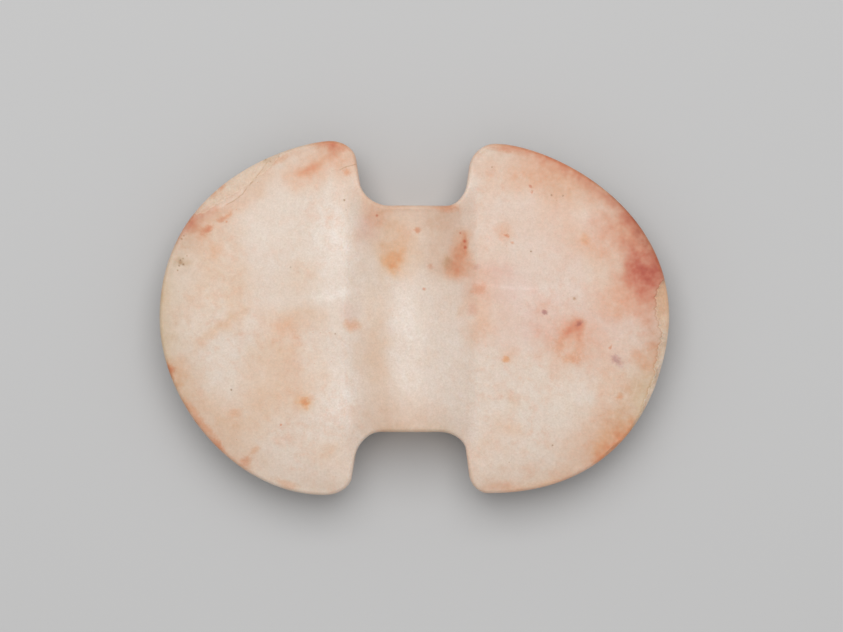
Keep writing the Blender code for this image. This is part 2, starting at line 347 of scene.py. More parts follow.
@dataclass
class Spokes:
    """Lays out the plan as spokes from the rim to a core line along y = 0."""

    sizes: StoneSizes
    outline: Outline
    per_half: int = 404  # spokes from wing tip to wing tip
    round_rows: int = 8  # rows over the rim's rounding
    inner_rows: int = 42  # rows from there to the core
    crowding: float = 1.45  # power that crowds the inner rows towards the rim
    core_reach: float = 0.058  # half the core line's length
    core_start: float = 1.2  # how fast the core is travelled at the notches, against the rim
    handle: float = 0.0022  # how far the spokes go on straight inside the rounding
    core_handle: float = 0.40  # how far they come straight to the core, as a share of their start's y
    crease_power: float = 4.0  # the higher, the sharper a crease the soft depth keeps
    measure_step: float = 0.0004  # between the rim's points that depths are measured to
    dense_shares: tuple[float, ...] = (0.20, 0.95)  # places on each half where spokes stand closer
    dense_width: float = 0.055
    dense_gain: float = 1.1
    samples: int = 4001  # places that the spokes' closeness is summed up at

    def shares(self) -> Array:
        """Places of the spokes on a half, as shares of its length, closer together at the scars.

        Returns:
            The places, from 0 at the left wing tip to 1 at the right one.
        """
        fine = np.linspace(0.0, 1.0, self.samples)
        weight = np.ones_like(fine)
        for place in self.dense_shares:
            weight += self.dense_gain * np.exp(-(((fine - place) / self.dense_width) ** 2))
        travelled = np.concatenate(([0.0], np.cumsum((weight[1:] + weight[:-1]) / 2)))
        return np.interp(np.linspace(0.0, travelled[-1], self.per_half + 1), travelled, fine)

    def core(self, shares: Array, half_length: float) -> Array:
        """Where each spoke meets the core line: x = c t / (1 + t/d), t along the rim from the notch.

        Args:
            shares: Places of the spokes on a half, as shares of its length.
            half_length: Length of the rim from the notch's middle to a wing tip.

        Returns:
            The places x, one for each spoke.
        """
        t = np.abs(1.0 - 2.0 * shares) * half_length
        slowing = half_length / (self.core_start * half_length / self.core_reach - 1.0)
        return np.sign(2.0 * shares - 1.0) * self.core_start * t / (1.0 + t / slowing)

    def rim(self) -> tuple[Array, Array]:
        """Find both ends of the spokes, clockwise from the left wing tip.

        Returns:
            The starts on the rim, one per row, and the ends on the core line.
        """
        shares = self.shares()
        halves, length = [], 0.0
        for end in ("upper", "lower"):
            fine = self.outline.half(end)
            travelled = lengths_along(fine)
            length += travelled[-1] / 2
            halves.append(at(shares * travelled[-1], travelled, fine))
        core_x = self.core(shares, length / 2)
        rim = np.concatenate((halves[0], halves[1][-2:0:-1]))
        core = np.concatenate((core_x, core_x[-2:0:-1]))
        return rim, np.column_stack((core, np.zeros_like(core)))

    def nearest(self, points: Array, line: Array) -> Array:
        """Distance from each point to a fine line, row by row.

        Args:
            points: The points, as (rows, spokes, 2).
            line: The line's own points, one per row.

        Returns:
            The distances, as (rows, spokes).
        """
        found = np.empty(points.shape[:2])
        for k, row in enumerate(points):
            gap = row[:, None, :] - line[None]
            found[k] = np.sqrt((gap**2).sum(axis=2).min(axis=1))
        return found

    def build(self, form: "StoneForm") -> Plan:
        """Lay out the spokes.

        Over the rounding r a spoke runs straight in along the rim's inward normal, to r (1 - cos a) for
        even angles a. From there it is a cubic, with handles along that normal and, at the core, along Y.

        Args:
            form: Gives the rounding at each point of the rim.

        Returns:
            The plan, with the rim as its first row and the core as its last.
        """
        rim, core = self.rim()
        tangent = np.roll(rim, -1, axis=0) - np.roll(rim, 1, axis=0)
        turned = np.column_stack((tangent[:, 1], -tangent[:, 0]))
        inward = turned / np.linalg.norm(tangent, axis=1)[:, None]
        reach = form.rounding(form.ridge(rim[:, 0], rim[:, 1]))
        angles = np.linspace(0.0, pi / 2, self.round_rows + 1)
        in_by = reach[None] * (1.0 - np.cos(angles))[:, None]
        outer = rim[None] + inward[None] * in_by[..., None]
        start = outer[-1]
        upright = np.column_stack((np.zeros(len(rim)), start[:, 1]))
        arc = np.array((start, start + inward * self.handle, core + self.core_handle * upright, core))
        shares = np.linspace(0.0, 1.0, self.inner_rows + 1)[1:] ** self.crowding
        inner = on_cubic(arc, shares[:, None])
        edge, ends, step = self.outline, ("upper", "lower"), self.measure_step
        wings = [edge.evenly(edge.wing(end, side), step) for end in ends for side in ("left", "right")]
        notches = [edge.evenly(edge.notch(end), step) for end in ends]
        points = np.concatenate((outer, inner))
        from_wing = self.nearest(points, np.concatenate(wings))
        to_wing = from_wing[len(outer):]
        to_notch = self.nearest(inner, np.concatenate(notches))
        power = self.crease_power
        soft = (to_wing**-power + to_notch**-power) ** (-1.0 / power)
        travelled = lengths_along(np.concatenate((rim, rim[:1])))
        return Plan(
            points=points,
            depth=np.concatenate((in_by, np.minimum(to_wing, to_notch))),
            soft_depth=np.concatenate((in_by, soft)),
            from_wing=from_wing,
            along=travelled[:-1],
            around=float(travelled[-1]),
            headings=np.degrees(np.arctan2(rim[:, 1], rim[:, 0])),
        )


@dataclass
class StoneForm:
    """The stone's thickness over its plan, the same formula as its solid's, and the marks of its making."""

    sizes: StoneSizes
    unevenness: float = 0.00012  # height of the swells that hand grinding left
    swells: int = 18
    swell_lengths: tuple[float, float] = (0.013, 0.046)
    ripple: float = 0.00005  # height of the ripples in a flake scar
    ripple_step: float = 0.0012
    ripple_start: float = 0.001  # how far inside the rim they reach their height
    scar_drop: float = 0.0004  # over which a scar's inner edge steps down
    off_scar: float = 0.004  # how far from a scar the rim beside it counts as
    ragged_lengths: tuple[float, ...] = (0.0061, 0.0034, 0.0021, 0.0013)  # of the waves in that edge
    scar_seed: int = 40

    def ridge(self, x: Array, y: Array) -> Array:
        """The barrel's ridge, a^fullness a (1 + c) / (a + c), a = cos(pi/2 |x|/half width), c the softness.

        Past the barrel's ends it fades as half a cosine wave.

        Args:
            x: Places across the wings.
            y: Places along the bore.

        Returns:
            The ridge's share of the barrel's own height, from 0 to 1.
        """
        s = self.sizes
        across = np.clip(np.abs(x - s.barrel_x) / (s.barrel_width / 2), 0.0, 1.0)
        past = np.clip(np.maximum(y - s.upper_end_y, s.lower_end_y - y) / s.ridge_run_out, 0.0, 1.0)
        arch = np.clip(np.cos(pi / 2 * across), 0.0, 1.0)
        softened = arch * (1.0 + s.foot_softness) / (arch + s.foot_softness)
        return arch**s.barrel_fullness * softened * (1.0 + np.cos(pi * past)) / 2

    def rounding(self, ridge: Array) -> Array:
        """How far the edge's rounding reaches in, from the rim's value to the barrel end's."""
        return self.sizes.rim_round + (self.sizes.end_round - self.sizes.rim_round) * ridge

    def half_thickness(self, plan: Plan) -> Array:
        """Height of a face above the middle plane: a wing that thins towards the rim, lifted by the ridge.

        Args:
            plan: The stone's plan.

        Returns:
            The height at each point, in metres.
        """
        s = self.sizes
        ridge = self.ridge(plan.points[..., 0], plan.points[..., 1])
        rise = np.sin(pi / 2 * np.clip(plan.soft_depth / s.wing_taper, 0.0, 1.0))
        wing = (s.rim_thickness + (s.wing_thickness - s.rim_thickness) * rise) / 2
        body = wing + (s.barrel_thickness / 2 - wing) * ridge
        kept = s.rim_flat_share + (s.end_flat_share - s.rim_flat_share) * ridge
        edge = np.sqrt(1.0 - (1.0 - np.clip(plan.depth / self.rounding(ridge), 0.0, 1.0)) ** 2)
        return body * (kept + (1.0 - kept) * edge)

    def hand_ground(self, plan: Plan, seed: int) -> Array:
        """Low swells of a surface ground by hand, which fade out over the rounding."""
        settled = smooth(0.0, 2.0 * self.sizes.rim_round, plan.depth)
        return self.unevenness * settled * waves(plan.points, self.swell_lengths, self.swells, seed)

    def scar_edge(self, scar: FlakeScar, plan: Plan, seed: int) -> Array:
        """How far each point lies outside a scar's inner edge, towards the rim.

        A bite's edge is half an ellipse along the rim, w sqrt(1 - (a/h)^2), and a scar takes the deepest
        bite at each place. Short waves round the rim make the edge ragged.

        Args:
            scar: The scar's sizes.
            plan: The stone's plan.
            seed: Chooses the waves.

        Returns:
            The distance in metres, positive in the scar.
        """
        draw = np.random.default_rng(seed)
        width = np.full(len(plan.along), -self.off_scar)
        for bite in scar.bites:
            middle = plan.along[np.argmin(np.abs(wrapped(plan.headings - bite.heading)))]
            off = (plan.along - middle + plan.around / 2) % plan.around - plan.around / 2
            inside = 1.0 - (off / bite.reach) ** 2
            scallop = bite.width * np.sqrt(np.clip(inside, 0.0, 1.0))
            width = np.maximum(width, scallop - self.off_scar * (inside < 0.0))
        for length in self.ragged_lengths:
            phase = draw.uniform(0.0, 2 * pi)
            width = width + scar.ragged * np.sin(2 * pi * plan.along / length + phase) / 2
        return width[None] - plan.depth

    def scarred(self, half: Array, plan: Plan) -> tuple[Array, Array]:
        """Take the flakes off the upper face.

        Args:
            half: Height of the face above the middle plane.
            plan: The stone's plan.

        Returns:
            The height left, and how far each point lies in the nearest scar.
        """
        deepest = np.full(plan.depth.shape, -self.off_scar)
        left = half
        settled = self.ripple * smooth(0.0, self.ripple_start, plan.depth)
        for k, scar in enumerate(SCARS):
            inside = self.scar_edge(scar, plan, self.scar_seed + k)
            deepest = np.maximum(deepest, inside)
            whole = np.maximum(inside + plan.depth, MILLIMETRE / 100)  # never 0
            taken = scar.step + (scar.fall - scar.step) * np.clip(inside / whole, 0.0, 1.0)
            wave = settled * np.sin(2 * pi * inside / self.ripple_step)
            left = left - smooth(0.0, self.scar_drop, inside) * (half * taken + wave)
        return left, deepest


class Hue(Enum):
    """What a stain multiplies the stone's own colour by, where it is full."""

    PEACH = (0.97, 0.86, 0.76)
    ORANGE = (0.96, 0.63, 0.46)
    RUST = (0.88, 0.47, 0.32)
    OCHRE = (0.96, 0.63, 0.40)
    BRICK = (0.82, 0.43, 0.33)
    ROSE = (0.87, 0.47, 0.38)
    WINE = (0.76, 0.31, 0.24)
    PINK = (0.97, 0.83, 0.83)
    TAN = (0.90, 0.78, 0.70)
    OLIVE = (0.66, 0.51, 0.34)
    VIOLET = (0.66, 0.50, 0.54)
    DIRT = (0.50, 0.36, 0.22)
    RUSSET = (0.60, 0.39, 0.28)
    GREEN = (0.95, 0.93, 0.84)
    PALE = (1.01, 1.06, 1.09)
    WHITE = (1.08, 1.13, 1.18)


class Edge(Enum):
    """How a stain ends: drifting off like a cloud, blurred, or sharp."""

    CLOUDY = "cloudy"
    BLURRED = "blurred"
    SHARP = "sharp"

    @property
    def reach(self) -> tuple[float, float]:
        """Where the tint is gone and where it is full, as shares of the way from the middle to the rim."""
        return {Edge.CLOUDY: (1.5, 0.0), Edge.BLURRED: (1.35, 0.1), Edge.SHARP: (1.2, 0.2)}[self]

    @property
    def loose(self) -> float:
        """How freely its rim strays, from 0 to 1."""
        return {Edge.CLOUDY: 1.0, Edge.BLURRED: 0.45, Edge.SHARP: 0.12}[self]


@dataclass(frozen=True)
class Stain:
    """A stain: its middle, length and width in millimetres, its turn in degrees, and its colour."""

    name: str
    x: float
    y: float
    length: float
    width: float
    turn: float
    hue: Hue
    strength: float
    edge: Edge


@dataclass(frozen=True)
class Band:
    """A tint that follows the rim, a stain, painted shade or a painted highlight: where it runs, in degrees
    round the stone, and how far in it reaches.
    """

    name: str
    start: float
    finish: float
    reach: float
    hue: Hue
    strength: float


@dataclass(frozen=True)
class Pit:
    """A tiny pit, dark with old dirt or light with fresh stone, in millimetres."""

    x: float
    y: float
    size: float
    hue: Hue
    strength: float


@dataclass(frozen=True)
class Vein:
    """A thin line in the stone: a stretch of a parabola, in millimetres."""

    name: str
    start: tuple[float, float]
    finish: tuple[float, float]
    bend: float  # how far its middle stands off the straight line
    width: float
    hue: Hue
    strength: float


@dataclass(frozen=True)
class Staining:
    """The stains, veins and rim bands of one face, some of them painted light and shade."""

    stains: tuple[Stain, ...]
    veins: tuple[Vein, ...]
    bands: tuple[Band, ...] = ()
    pits: tuple[Pit, ...] = ()

    def wide(self) -> tuple[Stain, ...]:
        """The stains wide enough to be painted on the mesh's points."""
        return tuple(stain for stain in self.stains if stain.width >= PAINTED_WIDTH)

    def fine(self) -> tuple[Stain, ...]:
        """The stains that the finish draws."""
        return tuple(stain for stain in self.stains if stain.width < PAINTED_WIDTH)


@dataclass(frozen=True)
class Painting:
    """Lays the wide stains and the painted shade at the rims on the mesh's points, as one tint for each
    point.
    """

    stray: float = 2.3  # millimetres that waves move a cloudy stain's rim about
    stray_lengths: tuple[float, float] = (3.0, 26.0)
    stray_fall: float = 1.0
    broken: float = 0.07  # how much waves vary how far its tint reaches
    broken_lengths: tuple[float, float] = (3.2, 14.0)
    waves: int = 48
    rim: Colour = (0.93, 0.90, 0.85)  # tint of the painted shade at the rim's edge
    rim_shade_reach: float = 3.6  # how far in the painted shade falls to a third
    border: Colour = (0.945, 0.935, 0.93)  # tint of the painted shade over the wings' border
    border_shade_reach: float = 17.0  # how far in it ends
    band_end: float = 5.0  # degrees over which a band starts and ends
    band_uneven: float = 0.25  # how much of it comes and goes
    band_swells: tuple[float, float] = (9.0, 23.0)  # how often, all round the stone
    wall: Colour = (1.08, 0.93, 0.78)  # tint of the rim's upright wall: its own warm colour, made warmer as painted glow that bounces warm light into the shadows

    def rim_shaded(self, depth: Array) -> Array:
        """The painted shade of a wing's rim and border, r^exp(-d/reach) b^step(d), d millimetres inside the
        rim.

        Args:
            depth: The distances d.

        Returns:
            A tint for each of them.
        """
        close = np.exp(-depth / self.rim_shade_reach)[..., None]
        wide = smooth(self.border_shade_reach, 0.0, depth)[..., None]
        return np.array(self.rim) ** close * np.array(self.border) ** wide

    def banded(self, depth: Array, headings: Array, bands: tuple[Band, ...]) -> Array:
        """The tints of the rim's bands multiplied, their stains and their painted shade and highlights.

        Args:
            depth: Distance inside the rim in millimetres, as (rows, spokes).
            headings: The spokes' directions from the middle of the stone, in degrees.
            bands: The bands.

        Returns:
            A tint for each point, as (rows, spokes, 3).
        """
        total = np.ones((*depth.shape, 3))
        slow, fast = (np.sin(np.radians(headings * swells)) for swells in self.band_swells)
        uneven = 1.0 - self.band_uneven + self.band_uneven * slow * fast
        for band in bands:
            middle, half = (band.start + band.finish) / 2, abs(band.finish - band.start) / 2
            off = np.abs(wrapped(headings - middle))
            here = smooth(half + self.band_end, half - self.band_end, off) * uneven
            amount = band.strength * here * np.exp(-depth / band.reach)
            total *= np.array(band.hue.value) ** amount[..., None]
        return total

    def tints(self, points: Array, stains: tuple[Stain, ...], seed: int) -> Array:
        """The tints of all stains multiplied.

        A stain is an ellipse: its place is turned and stretched so that its rim lies at 1 from its middle,
        and its tint grows in a smooth step from there inwards.

        Args:
            points: The plan's points in millimetres, as (..., 2).
            stains: The stains.
            seed: Chooses the waves that move and break them.

        Returns:
            A tint for each point, as (..., 3).
        """
        total = np.ones((*points.shape[:-1], 3))
        moved = [waves(points, self.stray_lengths, self.waves, seed + k, self.stray_fall) for k in (1, 2)]
        uneven = waves(points, self.broken_lengths, self.waves, seed + 3) * self.broken
        for stain in stains:
            loose = self.stray * stain.edge.loose
            x = points[..., 0] + loose * moved[0] - stain.x
            y = points[..., 1] + loose * moved[1] - stain.y
            c, s = cos(radians(stain.turn)), sin(radians(stain.turn))
            u, v = (c * x + s * y) / (stain.length / 2), (c * y - s * x) / (stain.width / 2)
            amount = stain.strength * smooth(*stain.edge.reach, np.hypot(u, v) + uneven)
            total *= np.array(stain.hue.value) ** amount[..., None]
        return total


class Wire:
    """One output of a material's nodes, which takes part in sums as a number does."""

    def __init__(self, board: "Board", socket: bpy.types.NodeSocket) -> None:
        """Keep the output and the board that it is on."""
        self.board = board
        self.socket = socket

    def __add__(self, other: Value) -> "Wire":
        """This plus another."""
        return self.board.sum("ADD", self, other)

    __radd__ = __add__

    def __sub__(self, other: Value) -> "Wire":
        """This less another."""
        return self.board.sum("SUBTRACT", self, other)

    def __rsub__(self, other: Value) -> "Wire":
        """A number less this."""
        return self.board.sum("SUBTRACT", other, self)

    def __mul__(self, other: Value) -> "Wire":
        """This times another."""
        return self.board.sum("MULTIPLY", self, other)

    __rmul__ = __mul__

    def __truediv__(self, other: Value) -> "Wire":
        """This over another."""
        return self.board.sum("DIVIDE", self, other)

    def __pow__(self, power: Value) -> "Wire":
        """This to a power."""
        return self.board.sum("POWER", self, power)

    def __abs__(self) -> "Wire":
        """This without its sign."""
        return self.board.sum("ABSOLUTE", self)


class Board:
    """The nodes of one material."""

    def __init__(self, material: bpy.types.Material) -> None:
        """Start with an empty node tree.

        Args:
            material: The material that the nodes are for.
        """
        material.use_nodes = True
        self.tree = material.node_tree
        self.tree.nodes.clear()

    def node(self, kind: str, settings: dict, inputs: dict) -> bpy.types.Node:
        """Add a node.

        Args:
            kind: Its type's name after "ShaderNode".
            settings: Its properties, set before its sockets.
            inputs: Values or wires for its sockets, by name or number.

        Returns:
            The node.
        """
        made = self.tree.nodes.new("ShaderNode" + kind)
        for name, setting in settings.items():
            setattr(made, name, setting)
        for key, value in inputs.items():
            if isinstance(value, Wire):
                self.tree.links.new(value.socket, made.inputs[key])
            else:
                made.inputs[key].default_value = value
        return made

    def wire(self, kind: str, settings: dict, inputs: dict, output: Union[str, int] = 0) -> Wire:
        """Add a node and give one of its outputs."""
        return Wire(self, self.node(kind, settings, inputs).outputs[output])

    def sum(self, operation: str, *terms: Value) -> Wire:
        """A Math node on wires and numbers."""
        return self.wire("Math", {"operation": operation}, dict(enumerate(terms)))

    def vector(self, operation: str, *terms: Tint) -> Wire:
        """A Vector Math node on wires and vectors."""
        return self.wire("VectorMath", {"operation": operation}, dict(enumerate(terms)))

    def apart(self, vector: Wire) -> tuple[Wire, ...]:
        """The three coordinates of a vector."""
        return tuple(Wire(self, output) for output in self.node("SeparateXYZ", {}, {0: vector}).outputs)

    def together(self, *coordinates: Value) -> Wire:
        """A vector or colour made of three values."""
        return self.wire("CombineXYZ", {}, dict(enumerate(coordinates)))

    def distance(self, point: Wire, other: Point) -> Wire:
        """How far a point is from another."""
        return self.wire("VectorMath", {"operation": "DISTANCE"}, {0: point, 1: other}, "Value")

    def scaled(self, vector: Wire, factor: float) -> Wire:
        """A vector times a number."""
        return self.wire("VectorMath", {"operation": "SCALE"}, {0: vector, "Scale": factor})

    def step(self, value: Wire, low: float, high: float, bottom: float = 0.0, top: float = 1.0) -> Wire:
        """A smooth step from bottom to top as the value goes from low to high."""
        sockets = {"Value": value, "From Min": low, "From Max": high, "To Min": bottom, "To Max": top}
        return self.wire("MapRange", {"interpolation_type": "SMOOTHSTEP"}, sockets)

    def noise(
        self, place: Wire, size: float, detail: float = 2.0, rough: float = 0.5, output: str = "Fac"
    ) -> Wire:
        """Cloudy noise whose features are about the given size, in the place's units."""
        sockets = {"Vector": place, "Scale": 1.0 / size, "Detail": detail, "Roughness": rough}
        return self.wire("TexNoise", {}, sockets, output)

    def swing(self, place: Wire, size: float, detail: float, rough: float, width: float) -> Wire:
        """Cloudy noise about 0, as wide as given from its lowest to its highest."""
        return (self.noise(place, size, detail, rough) - 0.5) * width

    def strayed(self, place: Wire, size: float, amount: float) -> Wire:
        """The place, moved about by noise of the given feature size, by up to about half the amount."""
        shift = self.vector("SUBTRACT", self.noise(place, size, output="Color"), (0.5, 0.5, 0.5))
        return self.vector("ADD", place, self.scaled(shift, amount))

    def local(self, place: Wire, middle: tuple, turn: float, scale: tuple) -> Wire:
        """The place as a mark sees it.

        Args:
            place: The point on the stone.
            middle: The mark's middle, which becomes 0.
            turn: The mark's turn in radians.
            scale: What becomes 1 along the mark and across it.

        Returns:
            The place, shifted, turned and stretched.
        """
        sockets = {
            "Vector": place,
            "Location": (*middle, 0.0),
            "Rotation": (0.0, 0.0, turn),
            "Scale": (*scale, STRAIGHT_DOWN),
        }
        return self.wire("Mapping", {"vector_type": "TEXTURE"}, sockets)

    def power(self, tint: Tint, amount: Value) -> Wire:
        """A tint to a power, as glazes build up."""
        return self.wire("Gamma", {}, {0: self.opaque(tint), 1: amount})

    def tinted(self, colour: Tint, tint: Tint, amount: Value = 1.0) -> Wire:
        """The colour times a tint, by the given amount."""
        return self.mixed(colour, tint, amount, "MULTIPLY")

    def mixed(self, colour: Tint, other: Tint, amount: Value, how: str = "MIX") -> Wire:
        """Two colours mixed.

        Args:
            colour: The first colour.
            other: The second, which shows in full at an amount of 1.
            amount: The share of the second.
            how: The Mix node's blend type.

        Returns:
            The mixed colour.
        """
        settings = {"data_type": "RGBA", "blend_type": how, "clamp_factor": True}
        return self.wire("Mix", settings, {0: amount, 6: self.opaque(colour), 7: self.opaque(other)}, 2)

    def finished(self, sockets: dict) -> None:
        """End the nodes with a Principled shader whose sockets have the given values or wires."""
        self.node("OutputMaterial", {}, {"Surface": self.wire("BsdfPrincipled", {}, sockets)})

    @staticmethod
    def opaque(colour: Tint) -> Union[Wire, tuple[float, ...]]:
        """A wire as it is, or a colour with its alpha."""
        return colour if isinstance(colour, Wire) else (*colour, 1.0)


@dataclass(frozen=True)
class Specks:
    """Fine dark specks, one in some of the cells of a lattice."""

    cell: float  # width of a cell in millimetres
    size: float  # radius of a speck, in cells
    chance: float  # a cell has a speck if its own random number is above this
    hue: Hue
    strength: float
    grainy: bool = False  # whether they keep to the granular patch


@dataclass(frozen=True)
class Break:
    """The finish of the flake scars, laid by how far a point is inside a scar's edge, in millimetres."""

    stone: Colour = (0.732, 0.555, 0.415)
    cover: float = 0.85  # how far it hides the stone's own colour
    patch_noise: Noise = (4.0, 4.0)
    patches: Span = (0.45, 0.65, 0.0, 0.6)  # its tan patches
    age: Colour = (0.90, 0.75, 0.63)  # tint of the older breaks, by y and by x
    age_y: Span = (-6.0, 8.0)
    age_x: Span = (10.0, 60.0)
    fresh_x: Span = (10.0, 60.0, 0.45, 1.0)  # the breaks on the left are old and stained
    fresh_y: Span = (-36.0, -26.0, 0.15, 1.0)  # and so is the lowest on the right
    ragged: Noise = (0.9, 3.0, 0.6, 0.35)
    edge: Span = (0.0, 0.12)
    lip_middle: float = 0.14  # a pale line just inside the edge
    lip: Span = (0.34, 0.08, 0.0, 0.85)
    lip_tint: Colour = (1.12, 1.19, 1.22)
    margin: Span = (-0.95, -0.15, 0.0, 0.8)  # dirt outside it
    margin_end: Span = (0.02, -0.10)
    margin_tint: Colour = (0.90, 0.80, 0.72)
    lit_low_side: Span = (0.6, 1.4, 0.0, 0.8)  # painted light on the low scar's outer side
    lit_low_side_y: Span = (-8.0, -16.0)
    lit_low_side_tint: Colour = (1.10, 1.15, 1.22)

    def inside(self, board: Board, place: Wire) -> tuple[Wire, Wire]:
        """Find the scars.

        Args:
            board: The material's nodes.
            place: The point on the stone, in millimetres.

        Returns:
            The distance in millimetres, raggedly, and 1 where the surface is broken.
        """
        scar = board.wire("Attribute", {"attribute_name": "scar"}, {}, "Fac")
        ragged = scar + board.swing(place, *self.ragged)
        return ragged, board.step(ragged, *self.edge)

    def laid(self, board: Board, colour: Wire, place: Wire, ragged: Wire, broken: Wire) -> Wire:
        """Lay the scars over a colour, with painted light on the low scar's outer side.

        Args:
            board: The material's nodes.
            colour: What they are laid over.
            place: The point on the stone, in millimetres.
            ragged: How far the point is inside a scar.
            broken: Whether its surface is broken.

        Returns:
            The colour with scars.
        """
        x, y, _ = board.apart(place)
        patches = board.step(board.noise(place, *self.patch_noise), *self.patches)
        aged = board.step(y, *self.age_y) * board.step(x, *self.age_x)
        stone = board.tinted(board.tinted(self.stone, Hue.TAN.value, patches), self.age, aged)
        fresh = board.step(x, *self.fresh_x) * board.step(y, *self.fresh_y)
        colour = board.mixed(colour, stone, broken * fresh * self.cover)
        margin = board.step(ragged, *self.margin) * board.step(ragged, *self.margin_end)
        colour = board.tinted(colour, self.margin_tint, margin * fresh)
        lip = board.step(abs(ragged - self.lip_middle), *self.lip)
        colour = board.tinted(colour, self.lip_tint, lip * fresh)
        # painted light, lifting the low scar's outer side out of its shade
        lit_low_side = board.step(ragged, *self.lit_low_side) * board.step(y, *self.lit_low_side_y)
        return board.tinted(colour, self.lit_low_side_tint, lit_low_side)


@dataclass(frozen=True)
class Quartz:
    """Pale quartz with a dull polish, clouded by nature and stained by iron."""

    # Clouds
    ground: Colour = (0.703, 0.574, 0.478)
    cloud_stray: Stray = (14.0, 9.0)
    milk: Colour = (1.05, 1.09, 1.12)  # tint of the clearer clouds
    milk_noise: Noise = (17.0, 4.0, 0.55)
    milk_span: Span = (0.50, 0.72, 0.0, 0.35)
    warmth: Colour = (0.97, 0.90, 0.84)  # tint of the warmer clouds
    warmth_noise: Noise = (13.0, 4.0, 0.6)
    warmth_span: Span = (0.48, 0.70, 0.0, 0.45)
    warmth_shift: Point = (61.0, 17.0, 5.0)  # takes them to other places than the clearer ones

    # Sugary grain
    coarse_grain: Noise = (1.6, 4.0, 0.72, 0.22)
    fine_grain: Noise = (0.6, 3.0, 0.75, 0.42)
    grain_colours: Colour = (0.85, 1.0, 1.25)  # how strongly it shows in red, green and blue

    # Flecks a few millimetres wide, in drifts
    fleck_stray: Stray = (4.0, 2.4)
    fleck_noise: Noise = (3.0, 5.0, 0.66)
    patch_noise: Noise = (9.0, 3.0, 0.6)
    drift_noise: Noise = (24.0, 2.0)
    drift_span: Span = (0.38, 0.62, 0.30, 1.0)
    barrel_calm: Span = (14.0, 26.0, 0.45, 1.0)  # the barrel has fewer, by the distance across
    rose_calm: Span = (14.0, 30.0, 0.30, 1.0)  # and so has the rose zone, by the distance from it
    rose_at: Point = (70.0, 22.0, 15.0)
    warm_flecks: Span = (0.46, 0.76, 0.0, 0.40)
    warm_patches: Span = (0.50, 0.72, 0.0, 0.30)
    pale_flecks: Span = (0.52, 0.24, 0.0, 0.42)
    pale_patches: Span = (0.48, 0.28, 0.0, 0.40)

    # Marks
    cloudy_swing: Noise = (2.2, 5.0, 0.68, 0.55)  # breaks up a cloudy stain's tint
    flecked_swing: Noise = (0.8, 4.0, 0.75, 0.9)  # breaks up any other's
    far_strays: tuple[Stray, Stray] = ((5.0, 3.6), (1.6, 1.4))  # move a soft stain's rim
    near_stray: Stray = (1.1, 1.1)  # moves a sharp one's
    painted_swing: Noise = (2.4, 5.0, 0.72, 1.7)  # breaks up the painted tints
    vein_stray: Stray = (2.4, 0.8)
    vein_noise: Noise = (2.0, 3.0)
    vein_span: Span = (0.30, 0.55, 0.35, 1.0)
    vein_ends: Span = (1.0, 0.75)
    pit_stray: Stray = (0.5, 0.35)
    grainy_at: Point = (-30.5, -8.5, 15.0)
    grainy_reach: Span = (13.0, 5.0)
    speck_rim: float = 0.5  # share of its radius inside which a speck is full
    chance_blur: float = 0.08
    specks: tuple[Specks, ...] = (
        Specks(4.4, 0.055, 0.86, Hue.OLIVE, 0.7),
        Specks(2.3, 0.075, 0.80, Hue.RUST, 0.7),
        Specks(1.25, 0.17, 0.45, Hue.RUST, 0.55, grainy=True),
    )
    face_span: Span = (8.5, 11.5)  # the face's own marks come in between these heights
    breaks: Break = Break()

    # Surface
    roughness: float = 0.46
    dull_swing: Noise = (2.2, 3.0, 0.5, 0.16)
    broken_roughness: float = 0.18  # how much rougher a scar is
    polish_noise: Noise = (0.5, 3.0, 0.6)
    polish_height: float = 0.010  # in millimetres, as are the next two
    swell_noise: Noise = (3.4, 3.0, 0.5)
    swell_height: float = 0.030
    break_noise: Noise = (0.7, 4.0, 0.65)
    break_height: float = 0.07
    density: float = 1.54  # how strongly it bends light
    depth_of_light: float = 0.22  # share of light that passes under the surface
    glow: Colour = (1.0, 0.55, 0.36)  # how far each colour of light travels there, against the reach
    glow_reach: float = 0.0028

    def place(self, board: Board) -> Wire:
        """The point on the stone, in millimetres."""
        return board.scaled(board.wire("TexCoord", {}, {}, "Object"), 1.0 / MILLIMETRE)

    def clouds(self, board: Board, place: Wire) -> Wire:
        """The quartz's own colour: milky and warm clouds in a cream ground.

        Args:
            board: The material's nodes.
            place: The point on the stone, in millimetres.

        Returns:
            The colour.
        """
        drifting = board.strayed(place, *self.cloud_stray)
        elsewhere = board.vector("ADD", drifting, self.warmth_shift)
        milky = board.step(board.noise(drifting, *self.milk_noise), *self.milk_span)
        warm = board.step(board.noise(elsewhere, *self.warmth_noise), *self.warmth_span)
        return board.tinted(board.tinted(self.ground, self.milk, milky), self.warmth, warm)

    def grain(self, board: Board, place: Wire) -> Wire:
        """Sugary grain of the quartz as a tint about white, strongest in the blue."""
        light = board.swing(place, *self.coarse_grain) + board.swing(place, *self.fine_grain)
        return board.together(*(light * share + 1.0 for share in self.grain_colours))

    def mottled(self, board: Board, colour: Wire, place: Wire) -> Wire:
        """Lay warm and pale flecks over a colour, in drifts.

        Args:
            board: The material's nodes.
            colour: What they are laid over.
            place: The point on the stone, in millimetres.

        Returns:
            The flecked colour.
        """
        bent = board.strayed(place, *self.fleck_stray)
        fleck, patch = (board.noise(bent, *noise) for noise in (self.fleck_noise, self.patch_noise))
        drift = board.step(board.noise(place, *self.drift_noise), *self.drift_span)
        drift = drift * board.step(abs(board.apart(place)[0]), *self.barrel_calm)
        drift = drift * board.step(board.distance(place, self.rose_at), *self.rose_calm)
        for noise, span, hue in (
            (fleck, self.warm_flecks, Hue.ORANGE),
            (patch, self.warm_patches, Hue.ORANGE),
            (fleck, self.pale_flecks, Hue.WHITE),
            (patch, self.pale_patches, Hue.WHITE),
        ):
            colour = board.tinted(colour, hue.value, board.step(noise, *span) * drift)
        return colour

